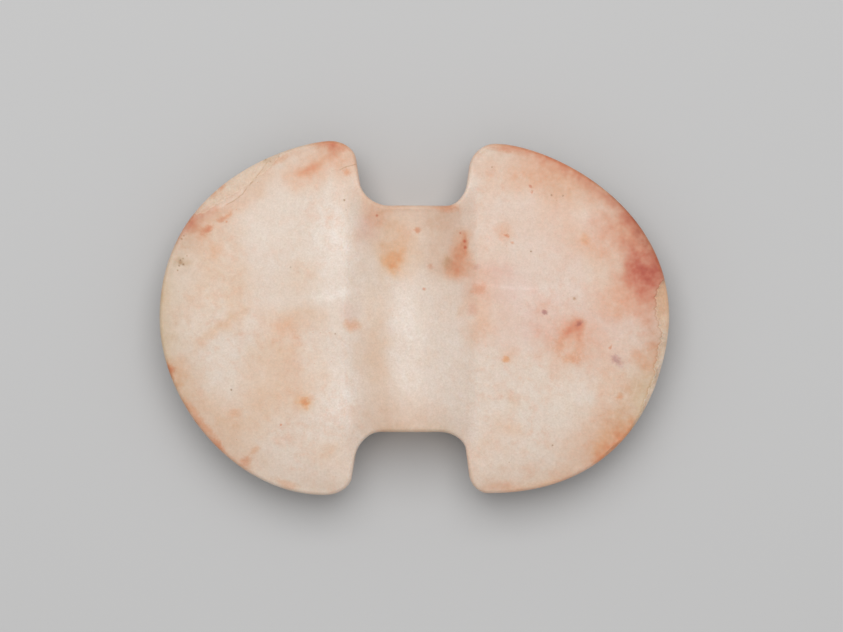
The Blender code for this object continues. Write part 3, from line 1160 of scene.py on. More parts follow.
    def stained(self, board: Board, colour: Wire, place: Wire, stains: tuple[Stain, ...]) -> Wire:
        """Lay stains over a colour.

        A stain is an ellipse: its place is turned and stretched so that its rim lies at 1 from its middle,
        and its tint grows from there inwards. Noise moves the rim about, and breaks up the tint.

        Args:
            board: The material's nodes.
            colour: What it is laid over.
            place: The point on the stone, in millimetres.
            stains: The stains, the lowest first.

        Returns:
            The stained colour.
        """
        broken = board.swing(place, *self.cloudy_swing)
        flecked = board.swing(place, *self.flecked_swing)
        near, far = board.strayed(place, *self.near_stray), place
        for stray in self.far_strays:
            far = board.strayed(far, *stray)
        ways = {Edge.CLOUDY: (far, broken), Edge.BLURRED: (far, flecked), Edge.SHARP: (near, flecked)}
        for stain in stains:
            bent, noise = ways[stain.edge]
            half = (stain.length / 2, stain.width / 2)
            local = board.local(bent, (stain.x, stain.y), radians(stain.turn), half)
            away = board.distance(local, (0.0, 0.0, 0.0)) + noise
            amount = board.step(away, *stain.edge.reach, 0.0, stain.strength)
            colour = board.vector("MULTIPLY", colour, board.power(stain.hue.value, amount))
        return colour

    def veined(self, board: Board, colour: Wire, place: Wire, veins: tuple[Vein, ...]) -> Wire:
        """Lay thin bent lines over a colour.

        In a vein's own frame, with u along it and v across, it follows v = bend (1 - (u / half length)^2).

        Args:
            board: The material's nodes.
            colour: What they are laid over.
            place: The point on the stone, in millimetres.
            veins: The veins.

        Returns:
            The veined colour.
        """
        bent = board.strayed(place, *self.vein_stray)
        patchy = board.step(board.noise(place, *self.vein_noise), *self.vein_span)
        for vein in veins:
            start, finish = Vector(vein.start), Vector(vein.finish)
            run = finish - start
            local = board.local(bent, tuple((start + finish) / 2), atan2(run.y, run.x), (run.length / 2, 1.0))
            u, v, _ = board.apart(local)
            line = board.step(abs(v - (1.0 - u * u) * vein.bend), vein.width, 0.0, 0.0, vein.strength)
            inside = line * board.step(abs(u), *self.vein_ends)
            colour = board.tinted(colour, vein.hue.value, inside * patchy)
        return colour

    def specked(self, board: Board, colour: Wire, place: Wire) -> Wire:
        """Scatter the fine dark specks, closer together in the granular patch.

        Args:
            board: The material's nodes.
            colour: What they are laid over.
            place: The point on the stone, in millimetres.

        Returns:
            The specked colour.
        """
        patch = board.step(board.distance(place, self.grainy_at), *self.grainy_reach)
        for kind in self.specks:
            cells = board.node("TexVoronoi", {"feature": "F1"}, {"Vector": place, "Scale": 1.0 / kind.cell})
            near = board.step(Wire(board, cells.outputs["Distance"]), kind.size, kind.size * self.speck_rim)
            number = board.wire("SeparateColor", {}, {0: Wire(board, cells.outputs["Color"])}, "Red")
            chosen = board.step(number, kind.chance, kind.chance + self.chance_blur)
            strength = patch * kind.strength if kind.grainy else kind.strength
            colour = board.tinted(colour, kind.hue.value, near * chosen * strength)
        return colour

    def pitted(self, board: Board, colour: Wire, place: Wire, pits: tuple[Pit, ...]) -> Wire:
        """Lay small round pits over a colour, each fading out to its rim.

        Args:
            board: The material's nodes.
            colour: What they are laid over.
            place: The point on the stone, in millimetres.
            pits: The pits.

        Returns:
            The pitted colour.
        """
        flat = board.vector("MULTIPLY", board.strayed(place, *self.pit_stray), (1.0, 1.0, 0.0))
        for pit in pits:
            away = board.distance(flat, (pit.x, pit.y, 0.0))
            colour = board.tinted(colour, pit.hue.value, board.step(away, pit.size, 0.0, 0.0, pit.strength))
        return colour

    def faces(self, board: Board, place: Wire, face: Staining, back: Staining) -> Wire:
        """The colour of the unbroken stone.

        Args:
            board: The material's nodes.
            place: The point on the stone, in millimetres.
            face: The stains of the face seen in the photograph.
            back: The plainer ones of the other face.

        Returns:
            The colour, the face's above the seam and the back's below it.
        """
        painted = board.wire("Attribute", {"attribute_name": "painted"}, {}, "Color")
        uneven = board.swing(place, *self.painted_swing) + 1.0
        own = board.tinted(self.clouds(board, place), board.power(painted, uneven))
        own = self.mottled(board, own, place)
        front = self.veined(board, self.stained(board, own, place, face.fine()), place, face.veins)
        front = self.pitted(board, front, place, face.pits)
        behind = self.veined(board, own, place, back.veins)
        height = board.apart(place)[2]
        return board.mixed(behind, front, board.step(height, *self.face_span))

    def relief(self, board: Board, place: Wire, broken: Wire) -> Wire:
        """Fine relief of the polish and of the scars, as a normal.

        Args:
            board: The material's nodes.
            place: The point on the stone, in millimetres.
            broken: Whether the surface is broken there.

        Returns:
            The surface's normal.
        """
        polish = board.noise(place, *self.polish_noise) * self.polish_height
        swell = board.noise(place, *self.swell_noise) * self.swell_height
        rough = broken * board.noise(place, *self.break_noise) * self.break_height
        sockets = {"Strength": 1.0, "Distance": MILLIMETRE, "Height": polish + swell + rough}
        return board.wire("Bump", {}, sockets)

    def material(self, face: Staining, back: Staining) -> bpy.types.Material:
        """Put the finish together.

        Args:
            face: The stains of the face seen in the photograph.
            back: The plainer ones of the other face.

        Returns:
            The material.
        """
        made = bpy.data.materials.new("iron-stained quartz")
        board = Board(made)
        place = self.place(board)
        ragged, broken = self.breaks.inside(board, place)
        colour = self.breaks.laid(board, self.faces(board, place, face, back), place, ragged, broken)
        colour = self.specked(board, colour, place)
        dull = board.swing(place, *self.dull_swing) + self.roughness + broken * self.broken_roughness
        board.finished({
            "Base Color": board.tinted(colour, self.grain(board, place)),
            "Roughness": dull,
            "IOR": self.density,
            "Normal": self.relief(board, place, broken),
            "Subsurface Weight": self.depth_of_light,
            "Subsurface Radius": self.glow,
            "Subsurface Scale": self.glow_reach,
        })
        return made


FACE = Staining(
    stains=(
        # Left wing, from its upper horn round to the lower one
        Stain("horn top", -26.4, 53.6, 8.5, 4.4, 80, Hue.RUST, 0.6, Edge.BLURRED),
        Stain("horn top rim", -26.7, 56.0, 14.0, 3.4, 0, Hue.RUST, 0.55, Edge.BLURRED),
        Stain("streak", -33.6, 48.3, 10.4, 4.2, 27, Hue.ORANGE, 0.85, Edge.BLURRED),
        Stain("haze under the streak", -35.5, 46.5, 22.0, 10.0, 12, Hue.ORANGE, 0.4, Edge.CLOUDY),
        Stain("horn blush", -28.5, 51.0, 27.0, 15.0, 5, Hue.ORANGE, 0.3, Edge.CLOUDY),
        Stain("inner side of the horn", -22.0, 48.5, 24.0, 8.0, 82, Hue.ORANGE, 0.28, Edge.CLOUDY),
        Stain("spot by the crack", -21.6, 47.3, 3.2, 2.4, 0, Hue.ORANGE, 0.8, Edge.BLURRED),
        Stain("upper rim blush", -43.0, 51.9, 7.8, 2.6, 20, Hue.ORANGE, 0.5, Edge.BLURRED),
        Stain("blush inside the scar", -49.4, 43.8, 13.0, 5.8, 48, Hue.PEACH, 0.6, Edge.CLOUDY),
        Stain("blush below the scar", -57.5, 37.0, 17.0, 7.0, 42, Hue.ORANGE, 0.3, Edge.CLOUDY),
        Stain("rim spot, first", -62.4, 42.3, 3.2, 2.2, 45, Hue.RUST, 0.9, Edge.SHARP),
        Stain("rim spot, second", -65.2, 39.6, 3.4, 2.3, 50, Hue.RUST, 0.6, Edge.BLURRED),
        Stain("rim wine stain", -71.4, 31.0, 7.6, 4.8, 55, Hue.RUST, 0.62, Edge.BLURRED),
        Stain("rim wine stain, edge", -73.6, 29.6, 12.0, 3.0, 57, Hue.WINE, 0.3, Edge.BLURRED),
        Stain("wine haze", -67.2, 33.4, 11.0, 4.4, 22, Hue.ROSE, 0.32, Edge.BLURRED),
        Stain("round orange spot", -66.9, 28.5, 3.9, 3.0, 25, Hue.RUST, 0.75, Edge.BLURRED),
        Stain("orange flecks", -62.4, 31.9, 4.0, 1.9, 38, Hue.RUST, 0.5, Edge.BLURRED),
        Stain("orange flecks, on", -60.2, 33.6, 4.0, 2.2, 60, Hue.ORANGE, 0.55, Edge.BLURRED),
        Stain("orange by the wine stain", -66.0, 30.5, 13.0, 9.0, 40, Hue.ORANGE, 0.4, Edge.CLOUDY),
        Stain("tan by the rim", -72.5, 26.0, 12.0, 9.0, 60, Hue.TAN, 0.7, Edge.CLOUDY),
        Stain("tan column", -65.5, 19.0, 34.0, 16.0, 80, Hue.PEACH, 0.75, Edge.CLOUDY),
        Stain("soft blush", -63.0, 22.0, 6.0, 5.0, 80, Hue.ORANGE, 0.5, Edge.CLOUDY),
        Stain("pitted patch", -75.4, 17.9, 5.6, 5.2, 0, Hue.OLIVE, 0.3, Edge.CLOUDY),
        Stain("flaky brown spot", -47.7, 50.9, 4.6, 2.0, 25, Hue.OLIVE, 0.55, Edge.SHARP),
        Stain("pale window", -63.1, 8.4, 14.9, 19.5, 0, Hue.PALE, 0.55, Edge.CLOUDY),
        Stain("peach column", -58.0, 6.5, 22.0, 10.0, 78, Hue.PEACH, 1.0, Edge.CLOUDY),
        Stain("peach cloud", -37.5, 13.5, 14.9, 10.5, 20, Hue.PEACH, 0.5, Edge.CLOUDY),
        Stain("orange cloud", -38.1, 0.0, 20.1, 9.7, -10, Hue.PEACH, 1, Edge.CLOUDY),
        Stain("orange grain", -42.3, -2.6, 11.0, 5.2, 20, Hue.ORANGE, 0.45, Edge.BLURRED),
        Stain("tan under the cloud", -43.5, -9.5, 17.0, 9.0, 10, Hue.PEACH, 0.6, Edge.CLOUDY),
        Stain("diagonal band", -64.4, -4.2, 20.1, 5.8, 37, Hue.PEACH, 1, Edge.CLOUDY),
        Stain("white window", -63.4, -14.9, 14.3, 14.3, 0, Hue.PALE, 0.9, Edge.CLOUDY),
        Stain("white cloud", -52.4, -10.1, 14.3, 8.4, 0, Hue.PALE, 0.45, Edge.CLOUDY),
        Stain("tan field", -43.0, -18.5, 28.0, 27.0, 0, Hue.PEACH, 1.0, Edge.CLOUDY),
        Stain("lower tan", -51.0, -31.0, 22.0, 14.0, 20, Hue.PEACH, 0.8, Edge.CLOUDY),
        Stain("iron spot halo", -35.7, -27.1, 7.5, 6.4, 0, Hue.OCHRE, 0.5, Edge.BLURRED),
        Stain("iron spot", -35.4, -27.3, 3.6, 3.2, 0, Hue.OCHRE, 0.75, Edge.BLURRED),
        Stain("rim spot, lower", -79.2, -17.4, 6.4, 3.4, 108, Hue.RUST, 0.85, Edge.BLURRED),
        Stain("rim spot, lower, halo", -77.8, -17.8, 11.0, 7.0, 108, Hue.ORANGE, 0.35, Edge.CLOUDY),
        Stain("rim line, lower", -69.5, -33.1, 19.5, 2.9, -48, Hue.ORANGE, 0.65, Edge.BLURRED),
        Stain("rim stain, lower", -63.4, -41.2, 7.1, 2.9, -42, Hue.RUST, 0.6, Edge.BLURRED),
        Stain("warm lower border", -64.5, -31.5, 40.0, 11.0, -50, Hue.PEACH, 1.0, Edge.CLOUDY),
        Stain("spot by the lower rim", -54.5, -47.0, 4.6, 3.4, 50, Hue.RUST, 0.55, Edge.BLURRED),
        Stain("its tail", -51.6, -42.8, 5.6, 2.6, 50, Hue.ORANGE, 0.4, Edge.BLURRED),
        Stain("bottom rim blush", -41.3, -53.8, 8.4, 3.2, -15, Hue.ORANGE, 0.45, Edge.BLURRED),
        Stain("soft spot", -58.5, -30.8, 4.5, 2.9, 20, Hue.ORANGE, 0.4, Edge.CLOUDY),
        Stain("lower peach", -28.7, -43.4, 11.0, 9.7, 0, Hue.PEACH, 0.6, Edge.CLOUDY),
        Stain("lower white", -43.0, -42.1, 19.5, 13.6, 0, Hue.PALE, 0.45, Edge.CLOUDY),
        Stain("white by the notch", -20.5, -27.6, 8.0, 15.0, 0, Hue.WHITE, 0.6, Edge.CLOUDY),
        Stain("white column", -25.5, 25.0, 46.0, 14.0, 88, Hue.WHITE, 0.95, Edge.CLOUDY),
        Stain("white arc patch", -26.4, 7.1, 15.6, 3.9, 15, Hue.WHITE, 0.4, Edge.BLURRED),
        Stain("pale quarter", -38.0, 27.0, 34.0, 26.0, 0, Hue.PALE, 0.7, Edge.CLOUDY),
        Stain("white over the arc", -33.0, 8.5, 20.0, 12.0, 0, Hue.PALE, 0.45, Edge.CLOUDY),
        Stain("white below the flank", -26.0, -22.0, 32.0, 18.0, 85, Hue.WHITE, 0.9, Edge.CLOUDY),
        Stain("violet haze", -20.9, 1.0, 5.8, 8.4, 0, Hue.PINK, 0.5, Edge.CLOUDY),
        Stain("spot at the barrel foot", -20.0, -2.4, 6.0, 4.0, -20, Hue.ORANGE, 0.6, Edge.BLURRED),
        # Barrel, from its upper end down
        Stain("upper tan", 3.4, 27.9, 36.3, 26.0, 0, Hue.TAN, 0.5, Edge.CLOUDY),
        Stain("grey tan", 9.0, 27.5, 17.5, 13.5, 90, Hue.TAN, 0.35, Edge.CLOUDY),
        Stain("pink haze", -14.8, 29.8, 13.6, 8.4, 80, Hue.PINK, 0.7, Edge.CLOUDY),
        Stain("pink light strip", 1.8, 29.2, 29.2, 5.8, 90, Hue.PALE, 0.35, Edge.BLURRED),
        Stain("ochre patch", -5.8, 22.2, 16.0, 13.5, 100, Hue.OCHRE, 0.48, Edge.CLOUDY),
        Stain("ochre heart", -6.3, 17.6, 9.0, 6.4, 30, Hue.OCHRE, 0.75, Edge.CLOUDY),
        Stain("ochre core", -6.6, 17.0, 3.6, 2.6, 20, Hue.OCHRE, 0.5, Edge.BLURRED),
        Stain("red dot, crown", 1.0, 28.2, 2.2, 3.0, 90, Hue.RUST, 0.7, Edge.SHARP),
        Stain("orange double dot", 16.3, 24.2, 6.5, 3.0, 92, Hue.RUST, 0.5, Edge.BLURRED),
        Stain("orange trail", 15.7, 22.5, 13.0, 7.0, 84, Hue.ORANGE, 0.6, Edge.CLOUDY),
        Stain("red blob", 14.2, 18.0, 11.5, 9.4, 60, Hue.RUST, 0.55, Edge.BLURRED),
        Stain("blush left of the blob", 9.0, 17.0, 11.0, 8.0, 0, Hue.TAN, 0.5, Edge.CLOUDY),
        Stain("blush under the blob", 15.5, 14.4, 12.0, 7.0, 0, Hue.ORANGE, 0.4, Edge.CLOUDY),
        Stain("violet heart", 10.6, 18.0, 5.0, 3.8, 90, Hue.OLIVE, 0.4, Edge.BLURRED),
        Stain("violet spot, left", 5.6, 16.5, 2.8, 1.5, 0, Hue.BRICK, 0.35, Edge.BLURRED),
        Stain("violet spot, right", 19.5, 16.2, 2.9, 2.3, 0, Hue.VIOLET, 0.28, Edge.BLURRED),
        Stain("blush past the foot", 24.2, 15.9, 14.3, 9.7, 0, Hue.PINK, 0.4, Edge.CLOUDY),
        Stain("blush past the foot, low", 27.0, 10.5, 24.0, 13.0, 0, Hue.PINK, 0.55, Edge.CLOUDY),
        Stain("red v mark", 3.2, 9.4, 1.6, 1.0, -20, Hue.BRICK, 0.6, Edge.SHARP),
        Stain("red soft spot", 20.9, 9.4, 4.8, 4.1, 30, Hue.RUST, 0.38, Edge.BLURRED),
        # the crown's whiter stone, with a painted highlight in it
        Stain("pale crown, painted highlight", -3.2, -3.0, 38.0, 10.0, 90, Hue.WHITE, 0.55, Edge.CLOUDY),
        # painted light on the barrel's flanks, which the skin shades darker
        Stain("painted light, right flank", 14.0, -14.0, 34.0, 10.0, 90, Hue.WHITE, 0.35, Edge.CLOUDY),
        Stain("painted light, left flank", -15.0, 6.5, 21.0, 7.5, 90, Hue.WHITE, 0.9, Edge.CLOUDY),
        Stain("pale body", 0.0, -14.0, 52.0, 44.0, 90, Hue.WHITE, 0.6, Edge.CLOUDY),
        Stain("left flank tan", -13.0, -9.0, 38.0, 11.0, 88, Hue.PEACH, 0.8, Edge.CLOUDY),
        # painted shade on the left of the crown
        Stain("shaded strip left of the crown", -9.5, -18.0, 30.0, 7.0, 90, Hue.PEACH, 0.45, Edge.CLOUDY),
        # painted shade at the barrel's lower end
        Stain("shaded lower end", -3.5, -32.5, 27.0, 14.0, 0, Hue.TAN, 0.82, Edge.CLOUDY),
        Stain("upper edge, red", 11.0, 35.6, 9.0, 3.6, 0, Hue.RUST, 0.45, Edge.BLURRED),
        Stain("tan by the notch", 5.6, 32.0, 18.0, 7.0, 0, Hue.TAN, 0.4, Edge.CLOUDY),
        Stain("orange in the notch corner", -12.5, 34.5, 14.0, 9.0, -60, Hue.ORANGE, 0.5, Edge.CLOUDY),
        # Right wing, from its upper horn round to the lower one
        Stain("pink field", 47.2, 22.0, 74.6, 61.6, -30, Hue.PINK, 0.35, Edge.CLOUDY),
        Stain("top rim red", 31.6, 54.8, 19.5, 3.9, -8, Hue.RUST, 0.5, Edge.BLURRED),
        Stain("top rim red, on", 44.9, 50.6, 22.0, 7.0, -22, Hue.RUST, 0.42, Edge.BLURRED),
        Stain("shoulder band", 57.5, 43.4, 25.0, 7.6, -35, Hue.RUST, 0.45, Edge.BLURRED),
        Stain("orange field", 44.6, 46.0, 32.4, 14.9, -22, Hue.ORANGE, 0.5, Edge.CLOUDY),
        Stain("peach under the field", 46.0, 41.0, 24.0, 11.0, -20, Hue.PEACH, 0.9, Edge.CLOUDY),
        Stain("left orange haze", 36.0, 46.0, 20.0, 13.0, 0, Hue.ORANGE, 0.26, Edge.CLOUDY),
        Stain("blush by the notch", 23.5, 46.0, 20.0, 9.0, 90, Hue.ORANGE, 0.28, Edge.CLOUDY),
        Stain("pale by the notch", 25.1, 42.8, 13.0, 19.5, 90, Hue.PALE, 0.35, Edge.CLOUDY),
        Stain("pale pink window", 55.0, 35.5, 12.0, 6.5, -15, Hue.WHITE, 0.4, Edge.CLOUDY),
        Stain("rim red, upper", 68.6, 33.4, 20.0, 6.0, -52, Hue.BRICK, 0.55, Edge.BLURRED),
        Stain("rose zone", 72.0, 22.0, 28.0, 15.0, -65, Hue.RUST, 0.46, Edge.CLOUDY),
        Stain("rose inside the heart", 69.5, 17.5, 18.0, 11.0, -60, Hue.BRICK, 0.38, Edge.CLOUDY),
        Stain("salmon inside the rim", 60.0, 28.5, 14.0, 9.0, -50, Hue.ROSE, 0.2, Edge.CLOUDY),
        Stain("red haze, upper", 68.0, 29.5, 26.0, 13.0, -50, Hue.RUST, 0.38, Edge.CLOUDY),
        Stain("red haze, lower", 73.0, 9.5, 22.0, 17.0, -80, Hue.ROSE, 0.34, Edge.CLOUDY),
        Stain("orange right of the ring", 62.5, -17.0, 26.0, 10.0, 90, Hue.ORANGE, 0.28, Edge.CLOUDY),
        Stain("salmon below the rose", 68.0, 6.0, 23.0, 15.0, 0, Hue.ORANGE, 0.62, Edge.CLOUDY),
        Stain("pink round the ring", 59.0, -4.0, 40.0, 25.0, 0, Hue.PINK, 0.5, Edge.CLOUDY),
        Stain("rose heart", 74.0, 15.0, 16.0, 12.5, -35, Hue.WINE, 0.5, Edge.CLOUDY),
        Stain("wine heart, dark", 73.8, 14.2, 13.0, 6.0, -12, Hue.BRICK, 0.6, Edge.BLURRED),
        Stain("wine heart, rim", 77.6, 13.0, 7.8, 5.8, -60, Hue.WINE, 0.22, Edge.BLURRED),
        Stain("rim red, lower", 76.6, 21.0, 20.0, 5.6, -66, Hue.BRICK, 0.52, Edge.BLURRED),
        Stain("rim brown, lower", 74.0, 26.5, 14.0, 4.4, -60, Hue.RUSSET, 0.25, Edge.BLURRED),
        Stain("red under the heart", 74.1, 6.5, 14.3, 8.4, -80, Hue.ROSE, 0.2, Edge.CLOUDY),
        Stain("peach by the heart", 63.4, 16.2, 14.3, 13.0, 0, Hue.PEACH, 0.6, Edge.CLOUDY),
        Stain("orange in the middle", 56.5, 24.5, 22.0, 14.0, 0, Hue.ORANGE, 0.44, Edge.CLOUDY),
        Stain("orange above the middle", 46.5, 34.0, 14.0, 10.0, 0, Hue.ORANGE, 0.3, Edge.CLOUDY),
        Stain("orange soft spot", 55.0, 26.4, 5.2, 4.2, 30, Hue.OCHRE, 0.6, Edge.BLURRED),
        Stain("fleck halo", 29.0, 27.6, 6.5, 4.5, 0, Hue.ORANGE, 0.4, Edge.BLURRED),
        Stain("rust fleck", 29.8, 26.6, 2.3, 1.0, -15, Hue.RUST, 0.8, Edge.SHARP),
        Stain("fleck beside it", 31.6, 24.3, 1.6, 1.0, -40, Hue.RUST, 0.5, Edge.SHARP),
        Stain("shoulder fleck", 37.4, 42.5, 1.9, 1.0, -60, Hue.BRICK, 0.7, Edge.SHARP),
        Stain("shoulder fleck, lower", 37.9, 40.7, 1.6, 1.0, 80, Hue.BRICK, 0.6, Edge.SHARP),
        Stain("violet mark", 42.0, 1.9, 2.6, 1.6, -15, Hue.VIOLET, 1, Edge.SHARP),
        Stain("white cloud", 41.7, 8.4, 19.5, 7.8, 0, Hue.WHITE, 0.5, Edge.CLOUDY),
        Stain("red blotch", 51.6, -2.8, 9.0, 6.4, 35, Hue.RUST, 0.45, Edge.CLOUDY),
        Stain("red streak of the ring", 50.4, -4.8, 9.5, 4.6, 48, Hue.RUST, 0.28, Edge.BLURRED),
        Stain("ring inside", 50.5, -7.5, 19.0, 19.0, 0, Hue.ORANGE, 0.55, Edge.CLOUDY),
        Stain("red blotch core", 52.9, -1.8, 3.2, 2.2, 30, Hue.VIOLET, 0.9, Edge.BLURRED),
        Stain("orange ring, left", 46.6, -8.8, 8.0, 3.4, 82, Hue.ORANGE, 0.45, Edge.BLURRED),
        Stain("orange ring, foot", 50.2, -13.0, 7.5, 4.0, 5, Hue.ORANGE, 0.55, Edge.BLURRED),
        Stain("orange ring, right", 53.0, -9.2, 8.0, 3.8, 78, Hue.ORANGE, 0.3, Edge.BLURRED),
        Stain("pale middle of the ring", 48.9, -10.0, 3.6, 3.0, 0, Hue.WHITE, 0.45, Edge.BLURRED),
        Stain("orange spot", 29.6, -13.3, 3.0, 2.6, 0, Hue.OCHRE, 0.9, Edge.SHARP),
        Stain("orange spot, halo", 31.0, -12.0, 7.8, 5.2, 20, Hue.ORANGE, 0.3, Edge.BLURRED),
        Stain("violet bruise", 65.3, -13.8, 5.2, 2.6, -45, Hue.VIOLET, 0.8, Edge.BLURRED),
        Stain("rust tick", 63.3, -9.4, 1.9, 1.0, 60, Hue.RUST, 0.6, Edge.SHARP),
        Stain("edge orange", 74.4, -13.0, 8.1, 7.8, 0, Hue.ORANGE, 0.55, Edge.CLOUDY),
        Stain("orange spot, low", 66.9, -25.1, 2.9, 2.6, 0, Hue.ORANGE, 0.7, Edge.BLURRED),
        Stain("low orange", 64.4, -39.6, 16.2, 11.0, 45, Hue.OCHRE, 0.62, Edge.CLOUDY),
        Stain("low orange haze", 59.5, -38.5, 33.0, 18.0, 45, Hue.ORANGE, 0.40, Edge.CLOUDY),
        Stain("warm right border", 70.0, -20.0, 30.0, 13.0, 72, Hue.PEACH, 0.4, Edge.CLOUDY),
        Stain("low orange, heart", 65.4, -40.0, 8.5, 6.2, 40, Hue.RUST, 0.38, Edge.BLURRED),
        Stain("low orange, left", 60.1, -44.4, 6.8, 4.6, 30, Hue.RUST, 0.3, Edge.BLURRED),
        Stain("low orange, right", 69.2, -36.0, 6.8, 4.4, 50, Hue.RUST, 0.3, Edge.BLURRED),
        Stain("bottom rim", 27.7, -54.6, 13.7, 4.4, 3, Hue.RUST, 0.26, Edge.BLURRED),
        Stain("bottom rim, on", 40.7, -53.8, 22.7, 2.9, 12, Hue.PEACH, 0.5, Edge.BLURRED),
        Stain("pink stripe", 19.9, 0.0, 22.7, 8.4, 88, Hue.ORANGE, 0.4, Edge.CLOUDY),
        Stain("blush by the foot", 23.5, 11.0, 34.0, 13.0, 88, Hue.ORANGE, 0.17, Edge.CLOUDY),
        Stain("pink stripe spot", 18.6, 2.3, 3.9, 3.9, 0, Hue.ROSE, 0.25, Edge.BLURRED),
        Stain("mid pink", 36.0, -2.5, 30.0, 20.0, 0, Hue.PINK, 0.5, Edge.CLOUDY),
        Stain("green cream", 73.4, -24.3, 19.5, 8.4, 70, Hue.GREEN, 1.0, Edge.CLOUDY),
        Stain("pale floor", 44.6, -28.2, 35.7, 22.7, 10, Hue.PALE, 0.6, Edge.CLOUDY),
        Stain("white by the notch", 19.9, -35.0, 24.0, 5.6, 90, Hue.WHITE, 0.5, Edge.CLOUDY),
        Stain("faint tan", 31.6, -27.6, 7.1, 4.5, 60, Hue.PEACH, 0.6, Edge.CLOUDY),
        Stain("faint pink", 30.3, -36.3, 13.0, 6.5, -20, Hue.PEACH, 0.6, Edge.CLOUDY),
        Stain("faint orange", 29.5, -36.5, 13.0, 8.0, 0, Hue.ORANGE, 0.2, Edge.CLOUDY),
    ),
    veins=(
        Vein("crack by the notch", (-18.6, 49.9), (-24.6, 47.4), -0.4, 0.34, Hue.OLIVE, 0.6),
        Vein("crack, on", (-24.4, 47.6), (-27.0, 47.5), -0.3, 0.25, Hue.OLIVE, 0.35),
        Vein("white arc", (-33.5, 6.2), (-19.5, 9.6), -0.9, 1.9, Hue.WHITE, 0.5),
        Vein("pale line by the scar", (-47.6, 51.4), (-54.4, 42.9), 0.1, 0.9, Hue.WHITE, 1.0),
        Vein("brown line by the scar", (-46.9, 51.3), (-53.9, 42.2), 0.1, 0.36, Hue.OLIVE, 0.75),
        Vein("pale line by the scar, on", (-54.3, 43.0), (-69.5, 34.3), 1.9, 0.9, Hue.WHITE, 0.8),
        Vein("brown line by the scar, on", (-53.7, 42.4), (-61.5, 36.2), 0.7, 0.30, Hue.OLIVE, 0.6),
        Vein("white arc, second", (-31.0, 8.0), (-20.5, 8.2), 0.5, 1.2, Hue.WHITE, 0.3),
        Vein("white thread on the right", (12.8, 13.6), (43.5, 9.8), -1.6, 1.1, Hue.WHITE, 0.7),
        Vein("pale streak on the edge", (72.1, -20.1), (70.2, -25.9), 0.3, 0.4, Hue.WHITE, 0.7),
        Vein("pale streak on the edge, second", (69.0, -16.0), (67.5, -24.0), 0.3, 0.4, Hue.WHITE, 0.45),
    ),
    bands=(
        Band("red upper rim", 64.0, 37.0, 1.3, Hue.RUST, 0.75),
        Band("wine upper rim", 40.0, 10.0, 1.4, Hue.RUSSET, 0.5),
        Band("horn top", 121.0, 111.0, 1.6, Hue.RUST, 0.4),
        Band("wine left rim", 164.0, 151.0, 1.5, Hue.WINE, 0.2),
        Band("cream left rim", 196.0, 168.0, 3.5, Hue.GREEN, 1.0),
        # painted shade along the left rim
        Band("shaded left rim", 200.0, 155.0, 6.5, Hue.GREEN, 0.75),
        # painted shade along the upper notch edge
        Band("shaded upper notch edge", 108.0, 72.0, 3.4, Hue.TAN, 1.1),
        Band("orange lower left rim", 222.0, 198.0, 1.3, Hue.RUST, 0.5),
        Band("rust low right rim", 330.0, 312.0, 2.0, Hue.RUST, 0.45),
        Band("orange lower right rim", 316.0, 299.0, 1.6, Hue.ORANGE, 0.6),
        Band("rust under the horn", 303.0, 290.0, 2.4, Hue.RUST, 0.3),
        Band("cream right rim", 352.0, 332.0, 3.5, Hue.GREEN, 1.0),
        Band("olive notch floor", 288.0, 252.0, 1.6, Hue.OLIVE, 0.42),
        # painted highlights on the lower edges, where the rim's bevel catches the light
        Band("highlit lower edge", 352.0, 291.0, 1.6, Hue.WHITE, 2.4),
        Band("highlit lower left edge", 240.0, 206.0, 2.0, Hue.WHITE, 1.0),
        Band("tan by the right scar", 8.0, -16.0, 4.5, Hue.TAN, 1.3),
    ),
    pits=(
        Pit(-22.7, 38.1, 0.55, Hue.DIRT, 1.0),
        Pit(-59.2, -23.2, 0.55, Hue.DIRT, 1.0),
        Pit(-12.1, 33.0, 0.70, Hue.BRICK, 1.0),
        Pit(25.1, 48.8, 0.45, Hue.DIRT, 0.8),
        Pit(44.3, 39.7, 0.50, Hue.DIRT, 0.8),
        Pit(48.0, 39.5, 0.50, Hue.DIRT, 0.8),
        Pit(37.6, 21.5, 0.50, Hue.DIRT, 0.9),
        Pit(51.6, 6.3, 0.90, Hue.OLIVE, 0.9),
        Pit(-25.6, -5.1, 0.45, Hue.DIRT, 0.8),
        Pit(44.6, -41.1, 0.50, Hue.DIRT, 0.9),
        Pit(-43.1, -34.5, 0.60, Hue.RUST, 0.9),
        Pit(-40.0, 16.4, 0.45, Hue.DIRT, 0.5),
        Pit(48.1, 47.4, 0.70, Hue.WHITE, 1.0),
        Pit(16.2, 24.8, 0.90, Hue.BRICK, 1.0),
        Pit(16.4, 22.8, 0.95, Hue.BRICK, 1.0),
        Pit(14.8, 27.4, 0.60, Hue.BRICK, 0.9),
        Pit(-75.6, 17.9, 1.20, Hue.OLIVE, 0.8),
        Pit(-74.7, 17.3, 0.60, Hue.DIRT, 0.9),
        Pit(-76.1, 16.9, 0.55, Hue.DIRT, 0.8),
        Pit(-75.7, 18.7, 0.50, Hue.DIRT, 0.8),
        Pit(-74.8, 19.2, 0.40, Hue.DIRT, 0.6),
        Pit(-73.6, 20.1, 0.40, Hue.OLIVE, 0.9),
        Pit(-76.6, 15.4, 0.45, Hue.OLIVE, 0.9),
        Pit(-75.3, 25.6, 0.60, Hue.OLIVE, 0.9),
        Pit(-74.6, 26.6, 0.45, Hue.OLIVE, 0.8),
        Pit(-60.7, 31.1, 0.60, Hue.RUST, 0.8),
        Pit(-48.2, 51.3, 0.55, Hue.DIRT, 0.7),
        Pit(-46.6, 50.6, 0.50, Hue.DIRT, 0.7),
    ),
)

